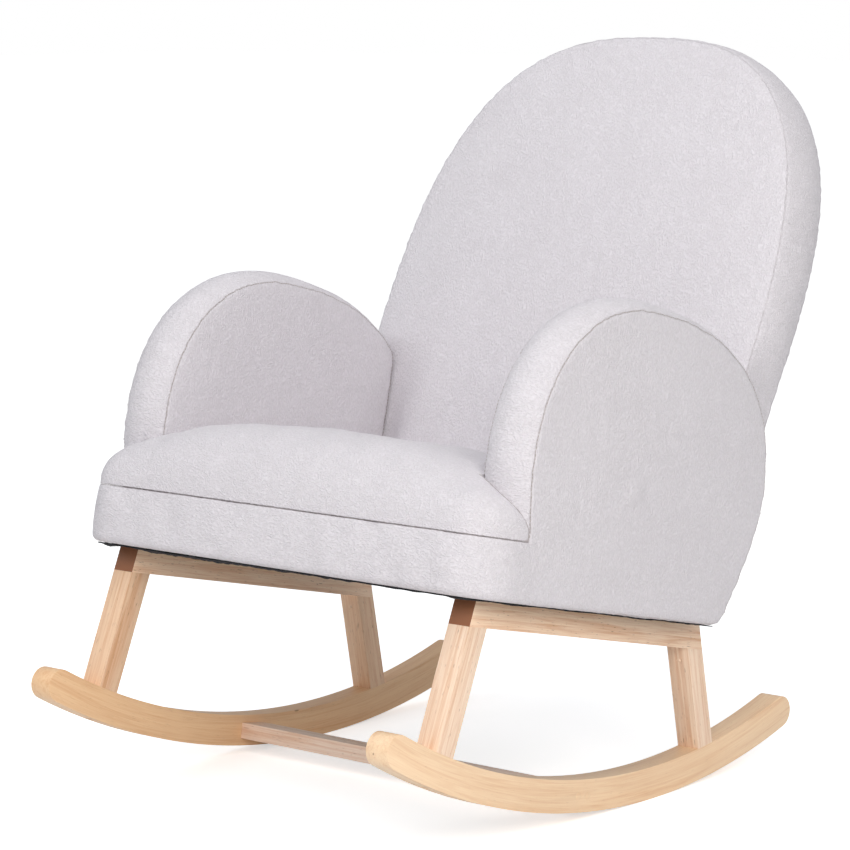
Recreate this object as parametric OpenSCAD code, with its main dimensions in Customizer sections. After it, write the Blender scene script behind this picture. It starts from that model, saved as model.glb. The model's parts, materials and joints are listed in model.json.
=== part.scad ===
// Upholstered rocking chair, in millimetres.
// Everything is laid out with the two long rails level: X runs to the sitter's left, Y to the
// rear and Z up from the underside of the rails. at_rest() then leans the chair back on its
// rockers, so the floor is the plane z = 0 and the origin lies midway between the two lines
// where the rockers touch the floor. Left and right are the sitter's.

/* [Timber base] */
// Side of the square section of the rails and legs
timber = 33; // [28:1:38]
// Distance of the centre line of a rail inside the side seam of the upholstery
rail_inset = 59.5; // [56:0.5:72]
// Length of a rail along its underside
rail_length = 481; // [460:1:500]
// Forward rake of the front legs, in degrees
front_rake = 10.8; // [6:0.2:14]
// Backward rake of the rear legs, in degrees
rear_rake = 23; // [16:0.5:26]

/* [Rockers] */
// Radius of the underside of a rocker
rocker_radius = 1021; // [900:1:1200]
// Depth of a rocker from its underside to its top
rocker_thickness = 41.5; // [34:0.5:50]
// Width of a rocker across the chair
rocker_width = 33; // [28:1:38]
// Depth of the rockers' lowest line under the rails, with the rails level
rocker_drop = 218; // [200:1:240]
// Distance of that lowest line behind the front end of the rails
rocker_low_y = 198; // [180:1:220]
// Sweep of a rocker in front of its lowest line, in degrees
rocker_front_sweep = 17.2; // [16:0.1:22]
// Sweep of a rocker behind its lowest line, in degrees
rocker_rear_sweep = 29; // [26:0.1:32]
// Backward lean of the rails when the chair stands still, in degrees
rest_tilt = 12.4; // [8:0.1:16]

/* [Stretcher] */
// Depth of the stretcher from front to rear
stretcher_depth = 39; // [30:1:50]
// Thickness of the stretcher
stretcher_thickness = 21; // [16:1:26]
// Place of the stretcher behind the rockers' lowest line, in degrees
stretcher_sweep = 4; // [2:0.5:8]

/* [Seat frame] */
// Width over the side seams of the upholstery
seat_width = 686; // [680:1:720]
// Height of the seat base from the dust cover to the cushion seam
seat_base_height = 74; // [68:1:90]
// Reach of the seat in front of the rails
seat_overhang = 41; // [36:1:50]
// Radius of the two front corners of the seat, seen from above
seat_corner = 62; // [50:1:80]
// Thickness of the padding in front of the seat frame
seat_padding = 21; // [18:1:24]
// Thickness of the front and rear boards of the seat frame
seat_board = 25; // [20:1:26]
// Thickness of the side boards of the seat frame
side_board = 30; // [26:1:32]
// Leg of a corner block
corner_block = 60; // [45:1:75]
// Number of seat springs
spring_count = 4; // [3:1:5]
// Wire diameter of the seat springs
spring_wire = 3.8; // [3:0.1:4.2]
// Thickness of the dust cover
dust_cover_thickness = 1; // [0.6:0.1:2]

/* [Cushion] */
// Rise of the cushion's crown over its seam
cushion_crown = 105; // [80:1:120]
// Distance over which the cushion's front edge rounds over
cushion_round = 105; // [70:1:140]
// Height of the cushion's edge at the seam
cushion_edge = 6; // [4:0.5:10]

/* [Arms] */
// Thickness of an arm between its seams
arm_thickness = 73; // [70:1:90]
// Height of the arm seam over the dust cover
arm_height = 375; // [340:1:400]
// Height of the widest part of the arm over the dust cover
arm_shoulder = 166; // [150:1:180]
// Distance of the arm's front seam behind the front end of the rails
arm_front = 24.5; // [10:0.5:28]
// Reach of the arm's rear seam behind the rails
arm_rear_reach = 30; // [8:1:34]
// Distance of the top of the arm behind the front end of the rails
arm_peak = 227; // [210:1:260]
// Inward taper of the arm's front seam down to the dust cover
arm_front_taper = 31; // [20:1:40]
// Inward taper of the arm's rear seam down to the dust cover
arm_rear_taper = 64; // [45:1:70]
// Thickness of the padding round the edge of the arm boards
arm_padding = 14; // [10:1:18]
// Rise of the arm's rounded edge over its seams
arm_bulge = 13; // [8:1:14]
// Swell of the arm's flat panels
arm_swell = 5; // [2:0.5:6]
// Thickness of the plywood arm boards
arm_board = 10; // [9:1:15]
// Thickness of the padding on the outer arm board
arm_outer_padding = 10; // [9:1:16]
// Thickness of the padding on the inner arm board
arm_inner_padding = 24; // [20:1:26]
// Depth of the blocks between the two boards of an arm
arm_spacer = 36; // [28:1:40]

/* [Back] */
// Backward lean of the back from the rails' upright, in degrees
back_lean = 14.6; // [13:0.2:16]
// Distance of the foot of the back's front face in front of the rails' rear end
back_setback = 97; // [92:1:104]
// Distance of the back's front seams inside the side seams of the arms
back_inset = 23; // [22:0.5:42]
// Length of the back along its lean, from the dust cover
back_length = 815; // [760:1:880]
// Length of the arched upper part of the back
back_arch = 441; // [400:1:460]
// Thickness of the padding in front of the back frame
back_padding = 34; // [26:1:36]
// Thickness of the boards of the back frame
back_board = 22; // [18:1:24]
// Thickness of the back at its foot
back_depth_low = 61; // [60:1:66]
// Thickness of the back at its top
back_depth_high = 97; // [84:1:104]
// Swell of the back's front panel
back_crown = 14; // [8:1:18]
// Rise of the back's rounded edge over its seams
back_bulge = 11; // [8:1:14]
// Thickness of the padding round the edge of the back frame
back_edge_padding = 18; // [14:1:22]
// Width of the boards of the back frame
back_frame_width = 48; // [40:1:55]
// Width of a strap of the elastic webbing
webbing_width = 50; // [40:1:60]
// Thickness of the elastic webbing
webbing_thickness = 1.5; // [1:0.1:2]

/* [Fasteners] */
// Diameter of the bolts
bolt_d = 8; // [6:1:8]
// Clearance round a bolt
bolt_clearance = 0.25; // [0.15:0.05:0.4]
// Diameter of the wood screws
screw_d = 4.5; // [4:0.5:5]
// Diameter of the dowels in the leg joints
dowel_d = 8; // [6:1:10]
// Length of the dowels in the leg joints
dowel_length = 36; // [28:1:40]
// Length of the threaded inserts for the rail bolts
insert_length = 18; // [14:1:20]
// Reach of the screws from the rockers up into the legs
leg_screw_reach = 30; // [24:1:34]
// Depth at which the rocker screws' heads lie under the rockers' surface
screw_sink = 8; // [6:1:10]
// Length of the screws in the ends of the stretcher
stretcher_screw_length = 50; // [40:1:55]
// Length of the back bolts under their heads
back_bolt_length = 47; // [40:1:50]
// Distance of the back bolts from the edges of the seat frame
back_bolt_inset = 14; // [13:0.5:18]

/* [Hidden] */
$fn = 48;
clear = 0.3;
rocker_y = rocker_low_y;
rocker_z = rocker_radius - rocker_drop;
rocker_top_radius = rocker_radius - rocker_thickness;
rocker_steps = 96;
half_width = seat_width / 2;
rail_x = half_width - rail_inset;
rail_top = timber;
base_z = rail_top + dust_cover_thickness;
seam_z = base_z + seat_base_height;
clip_thickness = 1;
spring_room = 1.2;
frame_top = seam_z - spring_room - spring_wire - clip_thickness;
far = 2 * back_length;
seat_front_y = -seat_overhang;
front_board_y = seat_front_y + seat_padding;
side_start_y = front_board_y + seat_board;

arm_inner_x = half_width - arm_thickness;
arm_middle_x = half_width - arm_thickness / 2;
outer_board_x = half_width - arm_outer_padding - arm_board;
inner_board_x = arm_inner_x + arm_inner_padding;
shoulder_z = base_z + arm_shoulder;
arm_top_rise = arm_height - arm_shoulder;
arm_rear = rail_length + arm_rear_reach;
arm_steps = 12;
arm_lower_steps = 4;
arm_center = [arm_peak, base_z + 0.88 * arm_shoulder];
side_board_x = inner_board_x - side_board;

back_gap = back_crown + clear;
back_foot = rail_length - back_setback;
back_half = half_width - back_inset;
back_arch_start = back_length - back_arch;
back_power = 2.7;
back_steps = 18;
back_rear_w = back_padding + back_board;
foot_clearance = 2;
back_bottom_v = (dust_cover_thickness + back_depth_low * sin(back_lean)) / cos(back_lean)
    + foot_clearance;
pad_bottom_v = (seam_z + clear - rail_top + back_padding * sin(back_lean)) / cos(back_lean);
free_rise = 60;
free_v = (arm_height - free_rise) / cos(back_lean);
rear_board_y = back_foot - seat_board / 6;

bolt_hole_d = bolt_d + 2 * bolt_clearance;
bolt_head_d = bolt_d * 1.6;
bolt_head_h = bolt_d * 0.625;
washer_d = bolt_d * 2.1;
washer_h = bolt_d / 5;
insert_d = bolt_d * 1.5;
screw_head_d = screw_d * 2;

wood = [0.87, 0.71, 0.50];
wood_dark = [0.80, 0.62, 0.42];
plywood = [0.83, 0.70, 0.52];
steel = [0.72, 0.73, 0.75];
cloth = [0.89, 0.87, 0.88];
black_cloth = [0.08, 0.08, 0.09];

// Lean the level chair back on its rockers and stand it on the floor
module at_rest() {
    turned_y = rocker_y * cos(rest_tilt) + rocker_z * sin(rest_tilt);
    turned_z = rocker_z * cos(rest_tilt) - rocker_y * sin(rest_tilt);
    translate([0, -turned_y, rocker_radius - turned_z])
        rotate([-rest_tilt, 0, 0])
            children();
}

// Draw something on the sitter's left (1) or right (-1)
module on_side(side) {
    mirror([side < 0 ? 1 : 0, 0, 0]) children();
}

// Draw something on both sides
module both_sides() {
    for (side = [1, -1]) on_side(side) children();
}

// Extrude a side view, drawn as [y, z], across the chair from x0 to x1
module across(x0, x1) {
    translate([x0, 0, 0])
        rotate([90, 0, 90])
            linear_extrude(height = x1 - x0)
                children();
}

// Cylinder along X
module rod_x(x0, x1, d) {
    translate([x0, 0, 0]) rotate([0, 90, 0]) cylinder(h = x1 - x0, d = d);
}

// Put something into the frame of the back: [x, depth behind its front face, length up its lean]
module in_back() {
    translate([0, back_foot, rail_top]) rotate([-back_lean, 0, 0]) children();
}

// Closed solid through rings with the same number of points, closed by a fan at each end.
// The rings run counter-clockwise as seen from the end that they run to.
module loft(rings, start, end) {
    n = len(rings[0]);
    m = len(rings);
    points = concat([for (r = rings) each r], [start, end]);
    walls = [
        for (i = [0:m - 2], j = [0:n - 1])
            let (k = (j + 1) % n)
                each [
                    [i * n + j, (i + 1) * n + j, (i + 1) * n + k],
                    [i * n + j, (i + 1) * n + k, i * n + k]
                ]
    ];
    start_cap = [for (j = [0:n - 1]) [m * n, j, (j + 1) % n]];
    end_cap = [for (j = [0:n - 1]) [m * n + 1, (m - 1) * n + (j + 1) % n, (m - 1) * n + j]];
    polyhedron(points = points, faces = concat(start_cap, walls, end_cap), convexity = 6);
}

// Shrink a flat outline towards its middle
function shrunk(outline, middle, s) = [for (p = outline) middle + s * (p - middle)];

// Height of a swelling at the scale s of its outline
function dome(s) = 1 - pow(s, 3);
dome_scales = [0.94, 0.8, 0.55];

// Side view of the arm

// Front and rear seam of the arm at the height z, below its shoulder
function arm_drop(z) = pow(max(0, (shoulder_z - z) / arm_shoulder), 1.5);
function arm_front_y(z) = arm_front + arm_front_taper * arm_drop(z);
function arm_rear_y(z) = arm_rear - arm_rear_taper * arm_drop(z);

// Front face of the back in the level chair at the height z
function back_face_y(z) = back_foot + (z - rail_top) * tan(back_lean);

// Arched edge of the arm from its rear foot over the top to its front foot, moved outwards by d
function arm_arch(d, low) = concat(
    [for (i = [0:arm_lower_steps - 1])
        let (z = low + (shoulder_z - low) * i / arm_lower_steps)
            [arm_rear_y(z) + d, z]],
    [for (i = [0:arm_steps])
        let (t = 90 * i / arm_steps)
            [arm_peak + (arm_rear - arm_peak + d) * pow(cos(t), 2 / 2.4),
             shoulder_z + (arm_top_rise + d) * pow(sin(t), 2 / 2.4)]],
    [for (i = [1:arm_steps])
        let (t = 90 + 90 * i / arm_steps)
            [arm_peak + (arm_peak - arm_front + d) * cos(t),
             shoulder_z + (arm_top_rise + d) * sin(t)]],
    [for (i = [1:arm_lower_steps])
        let (z = shoulder_z - (shoulder_z - low) * i / arm_lower_steps)
            [arm_front_y(z) - d, z]]
);

// The same edge, stopped at the front of the back
function arm_arch_stopped(d, low) =
    [for (p = arm_arch(d, low)) [min(p[0], back_face_y(p[1]) - back_gap / cos(back_lean)), p[1]]];

// Rise of the arm's rounded edge at the place x across it
function arm_edge(x) = arm_bulge * (1 - pow((x - arm_middle_x) / (arm_thickness / 2), 2));

function lift_x(outline, x) = [for (p = outline) [x, p[0], p[1]]];

// Front view of the back

// Half width of the back at the length v up its lean
function back_half_at(v, d) =
    let (k = max(0, (v - back_arch_start) / (back_arch + d)))
        (back_half + d) * pow(max(0, 1 - pow(k, back_power)), 1 / back_power);

// Share of the edge's rise at the length v: none between the arms, all of it above them
function free_share(v) = min(1, max(0, (v - free_v) / free_rise));

// Depth of the back at the length v
function back_depth(v) = back_depth_low + (back_depth_high - back_depth_low) * v / back_length;

// Rise of the back's rounded edge at the depth w
function back_edge(w) =
    let (middle = back_depth_high / 2)
        back_bulge * (1 - pow((w - middle) / middle, 2));

// Edge of the back from its left foot over the top to its right foot, moved outwards by d
function back_arch_points(d, low) = concat(
    [for (i = [0:5])
        let (v = low + (back_arch_start - low) * i / 6)
            [back_half + d * free_share(v), v]],
    [for (i = [0:2 * back_steps])
        let (
            t = 180 * i / (2 * back_steps),
            c = cos(t),
            v = back_arch_start + (back_arch + d) * pow(sin(t), 2 / back_power)
        )
            [sign(c) * (back_half + d * free_share(v)) * pow(abs(c), 2 / back_power), v]],
    [for (i = [5:-1:0])
        let (v = low + (back_arch_start - low) * i / 6)
            [-(back_half + d * free_share(v)), v]]
);

function lift_w(outline, w) = [for (p = outline) [p[0], w, p[1]]];

// Timber base

// Places where the rails are bolted to the seat frame
bolt_ys = [rail_length * 0.22, rail_length * 0.72];
rail_bolt_x = (rail_x - timber / 2 + inner_board_x) / 2;

// Side view of a rail, with its ends cut to the rake of the legs
module rail_profile() {
    polygon([
        [0, 0],
        [rail_length, 0],
        [rail_length - timber * tan(rear_rake), timber],
        [timber * tan(front_rake), timber]
    ]);
}

// Places of the two dowels in the joint of a leg, along the rail
function leg_dowel_ys(front) =
    let (middle = front ? timber / 2 : rail_length - timber / 2)
        [middle - timber / 5, middle + timber / 5];

// Dowels of one leg, on the sitter's left
module leg_dowel_pair(front, d) {
    for (y = leg_dowel_ys(front))
        translate([rail_x, y, -dowel_length / 2])
            cylinder(h = dowel_length - 2, d = d);
}

module rail(side) {
    on_side(side)
        difference() {
            across(rail_x - timber / 2, rail_x + timber / 2) rail_profile();
            for (front = [true, false]) leg_dowel_pair(front, dowel_d);
            for (y = bolt_ys)
                translate([rail_bolt_x, y, -1]) {
                    cylinder(h = timber + 2, d = bolt_hole_d);
                    cylinder(h = bolt_head_h + washer_h + 2, d = washer_d + 1);
                }
        }
}

// Side view of a leg, run on downwards into the rocker
module leg_profile(front) {
    reach = rocker_drop + 20;
    slant = front ? -reach * tan(front_rake) : reach * tan(rear_rake);
    start = front ? 0 : rail_length - timber;
    polygon([
        [start, 0],
        [start + timber, 0],
        [start + timber + slant, -reach],
        [start + slant, -reach]
    ]);
}

// Turn something from the middle of the rockers' circle: angle in degrees behind the lowest line
module on_circle(angle) {
    translate([0, rocker_y, rocker_z]) rotate([angle, 0, 0]) children();
}

// Angle at which a leg's centre line meets the top of the rocker
function leg_angle(front) =
    let (
        rake = front ? -front_rake : rear_rake,
        y0 = front ? timber / 2 : rail_length - timber / 2,
        dy = y0 - rocker_y,
        b = dy * sin(rake) + rocker_z * cos(rake),
        c = dy * dy + rocker_z * rocker_z - rocker_top_radius * rocker_top_radius,
        l = -b + sqrt(b * b - c)
    )
        atan2(dy + l * sin(rake), rocker_z + l * cos(rake));

// Screw up through a rocker, along its radius
module rocker_screw(front) {
    on_circle(leg_angle(front))
        translate([rail_x, 0, -rocker_radius + screw_sink]) {
            cylinder(h = rocker_thickness + leg_screw_reach - screw_sink, d = screw_d);
            cylinder(h = screw_head_d / 2, d1 = screw_head_d, d2 = screw_d);
        }
}

module leg(side, front) {
    on_side(side)
        difference() {
            intersection() {
                across(rail_x - timber / 2, rail_x + timber / 2) leg_profile(front);
                on_circle(0)
                    rod_x(rail_x - timber, rail_x + timber, 2 * rocker_top_radius, $fn = 360);
            }
            leg_dowel_pair(front, dowel_d);
            rocker_screw(front);
        }
}

// Points on an arc in a side view, from the angle a0 to a1 behind the downward direction
function arc_points(r, a0, a1, n, middle = [0, 0]) = [
    for (i = [0:n - 1])
        let (a = a0 + (a1 - a0) * i / n)
            middle + r * [sin(a), -cos(a)]
];

// Side view of a rocker about the middle of its circle, with fully rounded ends
module rocker_profile() {
    mid_radius = rocker_radius - rocker_thickness / 2;
    end_radius = rocker_thickness / 2;
    f = -rocker_front_sweep;
    r = rocker_rear_sweep;
    polygon(concat(
        arc_points(rocker_radius, f, r, rocker_steps),
        arc_points(end_radius, r, r + 180, 16, mid_radius * [sin(r), -cos(r)]),
        arc_points(rocker_top_radius, r, f, rocker_steps),
        arc_points(end_radius, f - 180, f, 16, mid_radius * [sin(f), -cos(f)])
    ));
}

// Middle of the stretcher, as a radius from the middle of the rockers' circle
stretcher_radius = rocker_radius - rocker_thickness / 2;
head_sink = 2;
head_h = 2;

// Rods on the axes of the screws that hold the stretcher, at the places x0 to x1
module on_stretcher_screws(x0, x1, d) {
    on_circle(stretcher_sweep)
        for (y = [-stretcher_depth / 4, stretcher_depth / 4])
            translate([0, y, -stretcher_radius]) rod_x(x0, x1, d);
}

// Screws through a rocker into the end of the stretcher
module stretcher_screw_pair() {
    outer = rail_x + rocker_width / 2 - head_sink;
    on_stretcher_screws(outer + head_sink - stretcher_screw_length, outer, screw_d);
    on_stretcher_screws(outer - head_h, outer, screw_head_d);
}

module rocker(side) {
    on_side(side)
        difference() {
            on_circle(0)
                across(rail_x - rocker_width / 2, rail_x + rocker_width / 2) rocker_profile();
            for (front = [true, false]) {
                rocker_screw(front);
                on_circle(leg_angle(front))
                    translate([rail_x, 0, -rocker_radius - 2])
                        cylinder(h = screw_sink + 2, d = screw_head_d + 1);
            }
            stretcher_screw_pair();
            on_stretcher_screws(
                rail_x + rocker_width / 2 - head_sink,
                rail_x + rocker_width / 2 + 1,
                screw_head_d + 1
            );
        }
}

module rail_left() color(wood_dark) at_rest() rail(1);
module rail_right() color(wood_dark) at_rest() rail(-1);
module leg_front_left() color(wood) at_rest() leg(1, true);
module leg_front_right() color(wood) at_rest() leg(-1, true);
module leg_rear_left() color(wood) at_rest() leg(1, false);
module leg_rear_right() color(wood) at_rest() leg(-1, false);
module rocker_left() color(wood) at_rest() rocker(1);
module rocker_right() color(wood) at_rest() rocker(-1);

module stretcher() {
    half = rail_x - rocker_width / 2;
    color(wood_dark)
        at_rest()
            difference() {
                on_circle(stretcher_sweep)
                    translate([-half, -stretcher_depth / 2, -stretcher_radius - stretcher_thickness / 2])
                        cube([2 * half, stretcher_depth, stretcher_thickness]);
                both_sides() stretcher_screw_pair();
            }
}

module leg_dowels() {
    color(wood)
        at_rest()
            both_sides()
                for (front = [true, false]) leg_dowel_pair(front, dowel_d);
}

module rocker_screws() {
    color(steel)
        at_rest()
            both_sides()
                for (front = [true, false]) rocker_screw(front);
}

module stretcher_screws() {
    color(steel) at_rest() both_sides() stretcher_screw_pair();
}

// Reach of the rail bolts above the rails' underside, right through their inserts
rail_bolt_length = base_z + insert_length + bolt_d / 2;

module rail_bolts() {
    color(steel)
        at_rest()
            both_sides()
                for (y = bolt_ys)
                    translate([rail_bolt_x, y, 0]) {
                        cylinder(h = bolt_head_h, d = bolt_head_d);
                        cylinder(h = rail_bolt_length, d = bolt_d);
                    }
}

module rail_washers() {
    color(steel)
        at_rest()
            both_sides()
                for (y = bolt_ys)
                    translate([rail_bolt_x, y, bolt_head_h])
                        difference() {
                            cylinder(h = washer_h, d = washer_d);
                            translate([0, 0, -1]) cylinder(h = washer_h + 2, d = bolt_hole_d);
                        }
}

module rail_inserts() {
    color(steel)
        at_rest()
            both_sides()
                for (y = bolt_ys)
                    translate([rail_bolt_x, y, base_z])
                        difference() {
                            cylinder(h = insert_length, d = insert_d);
                            translate([0, 0, -1]) cylinder(h = insert_length + 2, d = bolt_hole_d);
                        }
}

// Seat frame

// The front board's corners are rounded inside the padding
module seat_front_board() {
    half = half_width - seat_padding - clear;
    color(plywood)
        at_rest()
            translate([0, 0, base_z])
                linear_extrude(height = frame_top - base_z)
                    intersection() {
                        rounded_front(half, front_board_y, seat_corner - seat_padding - clear);
                        translate([-half, front_board_y]) square([2 * half, seat_board]);
                    }
}

module seat_rear_board() {
    color(plywood)
        at_rest()
            translate([-side_board_x, rear_board_y, base_z])
                cube([2 * side_board_x, seat_board, frame_top - base_z]);
}

// Places of the arm bolts, as [y, z]
arm_bolt_places = [
    for (y = [0.2, 0.5, 0.8])
        [
            side_start_y + (back_foot - back_gap - side_start_y) * y,
            base_z + 0.68 * (frame_top - base_z)
        ]
];
// Heights of the back bolts, as lengths up the lean of the back
back_bolt_vs = [
    back_bottom_v + back_bolt_inset,
    (frame_top - rail_top + back_padding * sin(back_lean)) / cos(back_lean) - back_bolt_inset
];
stile_x = back_half - back_edge_padding - back_frame_width;
back_bolt_x = (max(side_board_x, stile_x) + inner_board_x) / 2;

module seat_side_board(side) {
    on_side(side)
        difference() {
            translate([side_board_x, side_start_y, base_z])
                cube([side_board, far, frame_top - base_z]);
            in_back()
                translate([0, back_padding, -far / 2])
                    cube([half_width, far, far]);
            for (p = arm_bolt_places)
                translate([0, p[0], p[1]])
                    rod_x(side_board_x - 1, inner_board_x + 1, bolt_hole_d);
            for (y = bolt_ys)
                translate([rail_bolt_x, y, base_z - 1]) {
                    cylinder(h = insert_length + 1, d = insert_d);
                    cylinder(h = rail_bolt_length - rail_top, d = bolt_hole_d);
                }
            on_back_bolts(back_rear_w, back_bolt_length + bolt_head_h + 1, bolt_hole_d);
        }
}

module seat_side_board_left() color(plywood) at_rest() seat_side_board(1);
module seat_side_board_right() color(plywood) at_rest() seat_side_board(-1);

// Triangular blocks in the four corners of the seat frame
block_margin = 12;
block_z = base_z + block_margin;
block_h = frame_top - base_z - 2 * block_margin;
block_screw_length = corner_block / 3;

module corner_block_at(y, direction) {
    translate([side_board_x, y, block_z])
        linear_extrude(height = block_h)
            polygon([[0, 0], [-corner_block, 0], [0, direction * corner_block]]);
}

module corner_blocks() {
    color(wood)
        at_rest()
            difference() {
                both_sides() {
                    corner_block_at(side_start_y, 1);
                    corner_block_at(rear_board_y, -1);
                }
                corner_block_screw_set();
            }
}

// Two screws through each corner block up to the side board
module corner_block_screw_set() {
    ys = [side_start_y + corner_block / 4, rear_board_y - corner_block / 4];
    both_sides()
        for (y = ys, z = [0.3, 0.7])
            translate([0, y, block_z + z * block_h])
                rod_x(side_board_x - block_screw_length, side_board_x, screw_d);
}

module corner_block_screws() color(steel) at_rest() corner_block_screw_set();

// Zig-zag springs from the front board to the rear board
spring_swing = 20;
spring_waves = 6;
spring_z = frame_top + clip_thickness + spring_wire / 2;
spring_pitch = 2 * side_board_x / (spring_count + 1);
spring_start = front_board_y + seat_board / 2;
spring_end = rear_board_y + seat_board / 2;

// Round ring of the spring wire, square to its path
function wire_ring(p, heading) = [
    for (j = [0:5])
        let (t = -60 * j)
            [
                p[0] + spring_wire / 2 * cos(t) * cos(heading),
                p[1] + spring_wire / 2 * cos(t) * sin(heading),
                p[2] + spring_wire / 2 * sin(t)
            ]
];

module seat_spring(x) {
    n = spring_waves * 12;
    reach = spring_end - spring_start;
    path = [
        for (i = [0:n])
            let (k = i / n, swing = spring_swing * min(1, 8 * k, 8 * (1 - k)))
                [x + swing * sin(360 * spring_waves * k), spring_start + reach * k, spring_z]
    ];
    rings = [
        for (i = [0:n])
            let (
                a = path[max(0, i - 1)],
                b = path[min(n, i + 1)]
            )
                wire_ring(path[i], atan2(b[1] - a[1], b[0] - a[0]) - 90)
    ];
    loft(rings, path[0], path[n]);
}

// Places of the springs across the seat
function spring_x(i) = (i - (spring_count - 1) / 2) * spring_pitch;

module seat_springs() {
    color(steel)
        at_rest()
            for (i = [0:spring_count - 1]) seat_spring(spring_x(i));
}

// A plate under each end of a spring
module spring_clips() {
    width = 4 * spring_wire;
    depth = 0.7 * seat_board;
    color(steel)
        at_rest()
            for (i = [0:spring_count - 1], y = [front_board_y, rear_board_y])
                translate([spring_x(i) - width / 2, y + (seat_board - depth) / 2, frame_top])
                    cube([width, depth, clip_thickness]);
}

module dust_cover() {
    inset = 8;
    color(black_cloth)
        at_rest()
            difference() {
                translate([0, 0, rail_top])
                    linear_extrude(height = dust_cover_thickness)
                        intersection() {
                            rounded_front(
                                half_width - inset, seat_front_y + inset, seat_corner - inset);
                            translate([-half_width, seat_front_y])
                                square([seat_width, arm_rear - arm_rear_taper - seat_front_y]);
                        }
                both_sides()
                    for (y = bolt_ys)
                        translate([rail_bolt_x, y, rail_top - 1])
                            cylinder(h = dust_cover_thickness + 2, d = bolt_hole_d);
            }
}

staple_count = 9;
staple_step = 2 * side_board_x / (staple_count + 1);
staple_size = [10, 1.2, 0.6];

// Staples through the hem of the dust cover, between the rails
module dust_cover_staples() {
    color(steel)
        at_rest()
            for (y = [spring_start, spring_end], i = [0:staple_count - 1])
                translate([
                    (i - (staple_count - 1) / 2) * staple_step - staple_size[0] / 2,
                    y,
                    rail_top - staple_size[2]
                ])
                    cube(staple_size);
}

// Padding in front of the seat frame, wrapped round its ends up to the arms
module seat_front_pad() {
    side_z = [for (i = [0:6]) base_z + (seam_z - base_z) * i / 6];
    pocket = half_width - seat_padding;
    reach = arm_edge(pocket) + clear;
    color(cloth)
        at_rest()
            difference() {
                intersection() {
                    translate([0, 0, base_z])
                        linear_extrude(height = seam_z - base_z)
                            rounded_front(half_width, seat_front_y, seat_corner);
                    across(-half_width, half_width)
                        polygon(concat(
                            [[seat_front_y, seam_z], [seat_front_y, base_z]],
                            [for (z = side_z) [arm_front_y(z) - reach, z]]
                        ));
                }
                linear_extrude(height = far)
                    rounded_front(pocket, front_board_y, seat_corner - seat_padding);
            }
}

// Plan of a straight front with two rounded corners, open ended to the rear
module rounded_front(half, front, corner) {
    translate([-half, front + corner]) square([2 * half, far]);
    translate([-half + corner, front]) square([2 * (half - corner), corner]);
    for (s = [-1, 1])
        translate([s * (half - corner), front + corner]) circle(r = corner, $fn = 64);
}

// Cushion: one crowned form that runs out in front of both arms

cushion_base = seam_z + clear;
ear_y = arm_front - arm_bulge - clear;
ear_step = 3;
tongue_half = arm_inner_x - arm_swell - clear;
cushion_columns = 24;
cushion_side_power = 0.48;

// Half width of the cushion at the distance y
function cushion_half(y) =
    y > ear_y + ear_step / 2
        ? tongue_half
        : let (k = min(seat_corner, y - seat_front_y))
            half_width - seat_corner + sqrt(seat_corner * seat_corner - pow(seat_corner - k, 2));

// Height of the cushion's top at a place
function cushion_top(x, y) =
    let (
        u = 1 - pow(x / half_width, 2),
        g = min(1, (y - seat_front_y) / cushion_round),
        side = pow(max(0, u), cushion_side_power),
        front = pow(1 - pow(1 - g, 2.4), 1 / 2.4),
        rear = 1 - 0.07 * pow(max(0, 2 * y / back_foot - 1), 2)
    )
        cushion_base + cushion_edge + (cushion_crown - cushion_edge - clear) * side * front * rear;

module seat_cushion() {
    tongue_y = ear_y + ear_step;
    rows = concat(
        [for (k = [0, 0.04, 0.12, 0.26, 0.48, 0.74, 1]) seat_front_y + (ear_y - seat_front_y) * k],
        [for (k = [0:9]) tongue_y + (back_foot - tongue_y) * k / 9]
    );
    m = len(rows);
    n = cushion_columns + 1;
    rear_gap = back_gap / cos(back_lean) + clear;
    // Place of a row at the height z: the rearmost row lies along the back, the others follow it
    function row_y(y, z) = y + max(0, y / back_foot) * (back_face_y(z) - rear_gap - back_foot);
    top = [
        for (y = rows, i = [0:cushion_columns])
            let (
                x = cushion_half(y) * (2 * i / cushion_columns - 1),
                z = cushion_top(x, y)
            )
                [x, row_y(y, z), z]
    ];
    bottom = [
        for (y = rows, i = [0:cushion_columns])
            [cushion_half(y) * (2 * i / cushion_columns - 1), row_y(y, cushion_base), cushion_base]
    ];
    q = m * n;
    sheet = [
        for (j = [0:m - 2], i = [0:cushion_columns - 1])
            let (a = j * n + i, b = a + 1, c = a + n, d = c + 1)
                each [
                    [a, c, d],
                    [a, d, b],
                    [q + a, q + d, q + c],
                    [q + a, q + b, q + d]
                ]
    ];
    ends = [
        for (i = [0:cushion_columns - 1])
            let (a = i, b = (m - 1) * n + i)
                each [
                    [a, a + 1, q + a + 1],
                    [a, q + a + 1, q + a],
                    [b, q + b + 1, b + 1],
                    [b, q + b, q + b + 1]
                ]
    ];
    sides = [
        for (j = [0:m - 2])
            let (a = j * n, b = a + n, c = a + n - 1, d = c + n)
                each [
                    [a, q + a, q + b],
                    [a, q + b, b],
                    [c, q + d, q + c],
                    [c, d, q + d]
                ]
    ];
    color(cloth)
        at_rest()
            polyhedron(points = concat(top, bottom), faces = concat(sheet, ends, sides), convexity = 6);
}

// Arms

module arm_outer_board(side) {
    on_side(side)
        across(outer_board_x, outer_board_x + arm_board)
            polygon(arm_arch(-arm_padding, base_z));
}

module arm_inner_board(side) {
    on_side(side)
        difference() {
            across(inner_board_x, inner_board_x + arm_board)
                polygon(arm_arch_stopped(-arm_padding, base_z));
            for (p = arm_bolt_places)
                translate([0, p[0], p[1]])
                    rod_x(inner_board_x - 1, inner_board_x + arm_board + 1, bolt_hole_d);
        }
}

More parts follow.
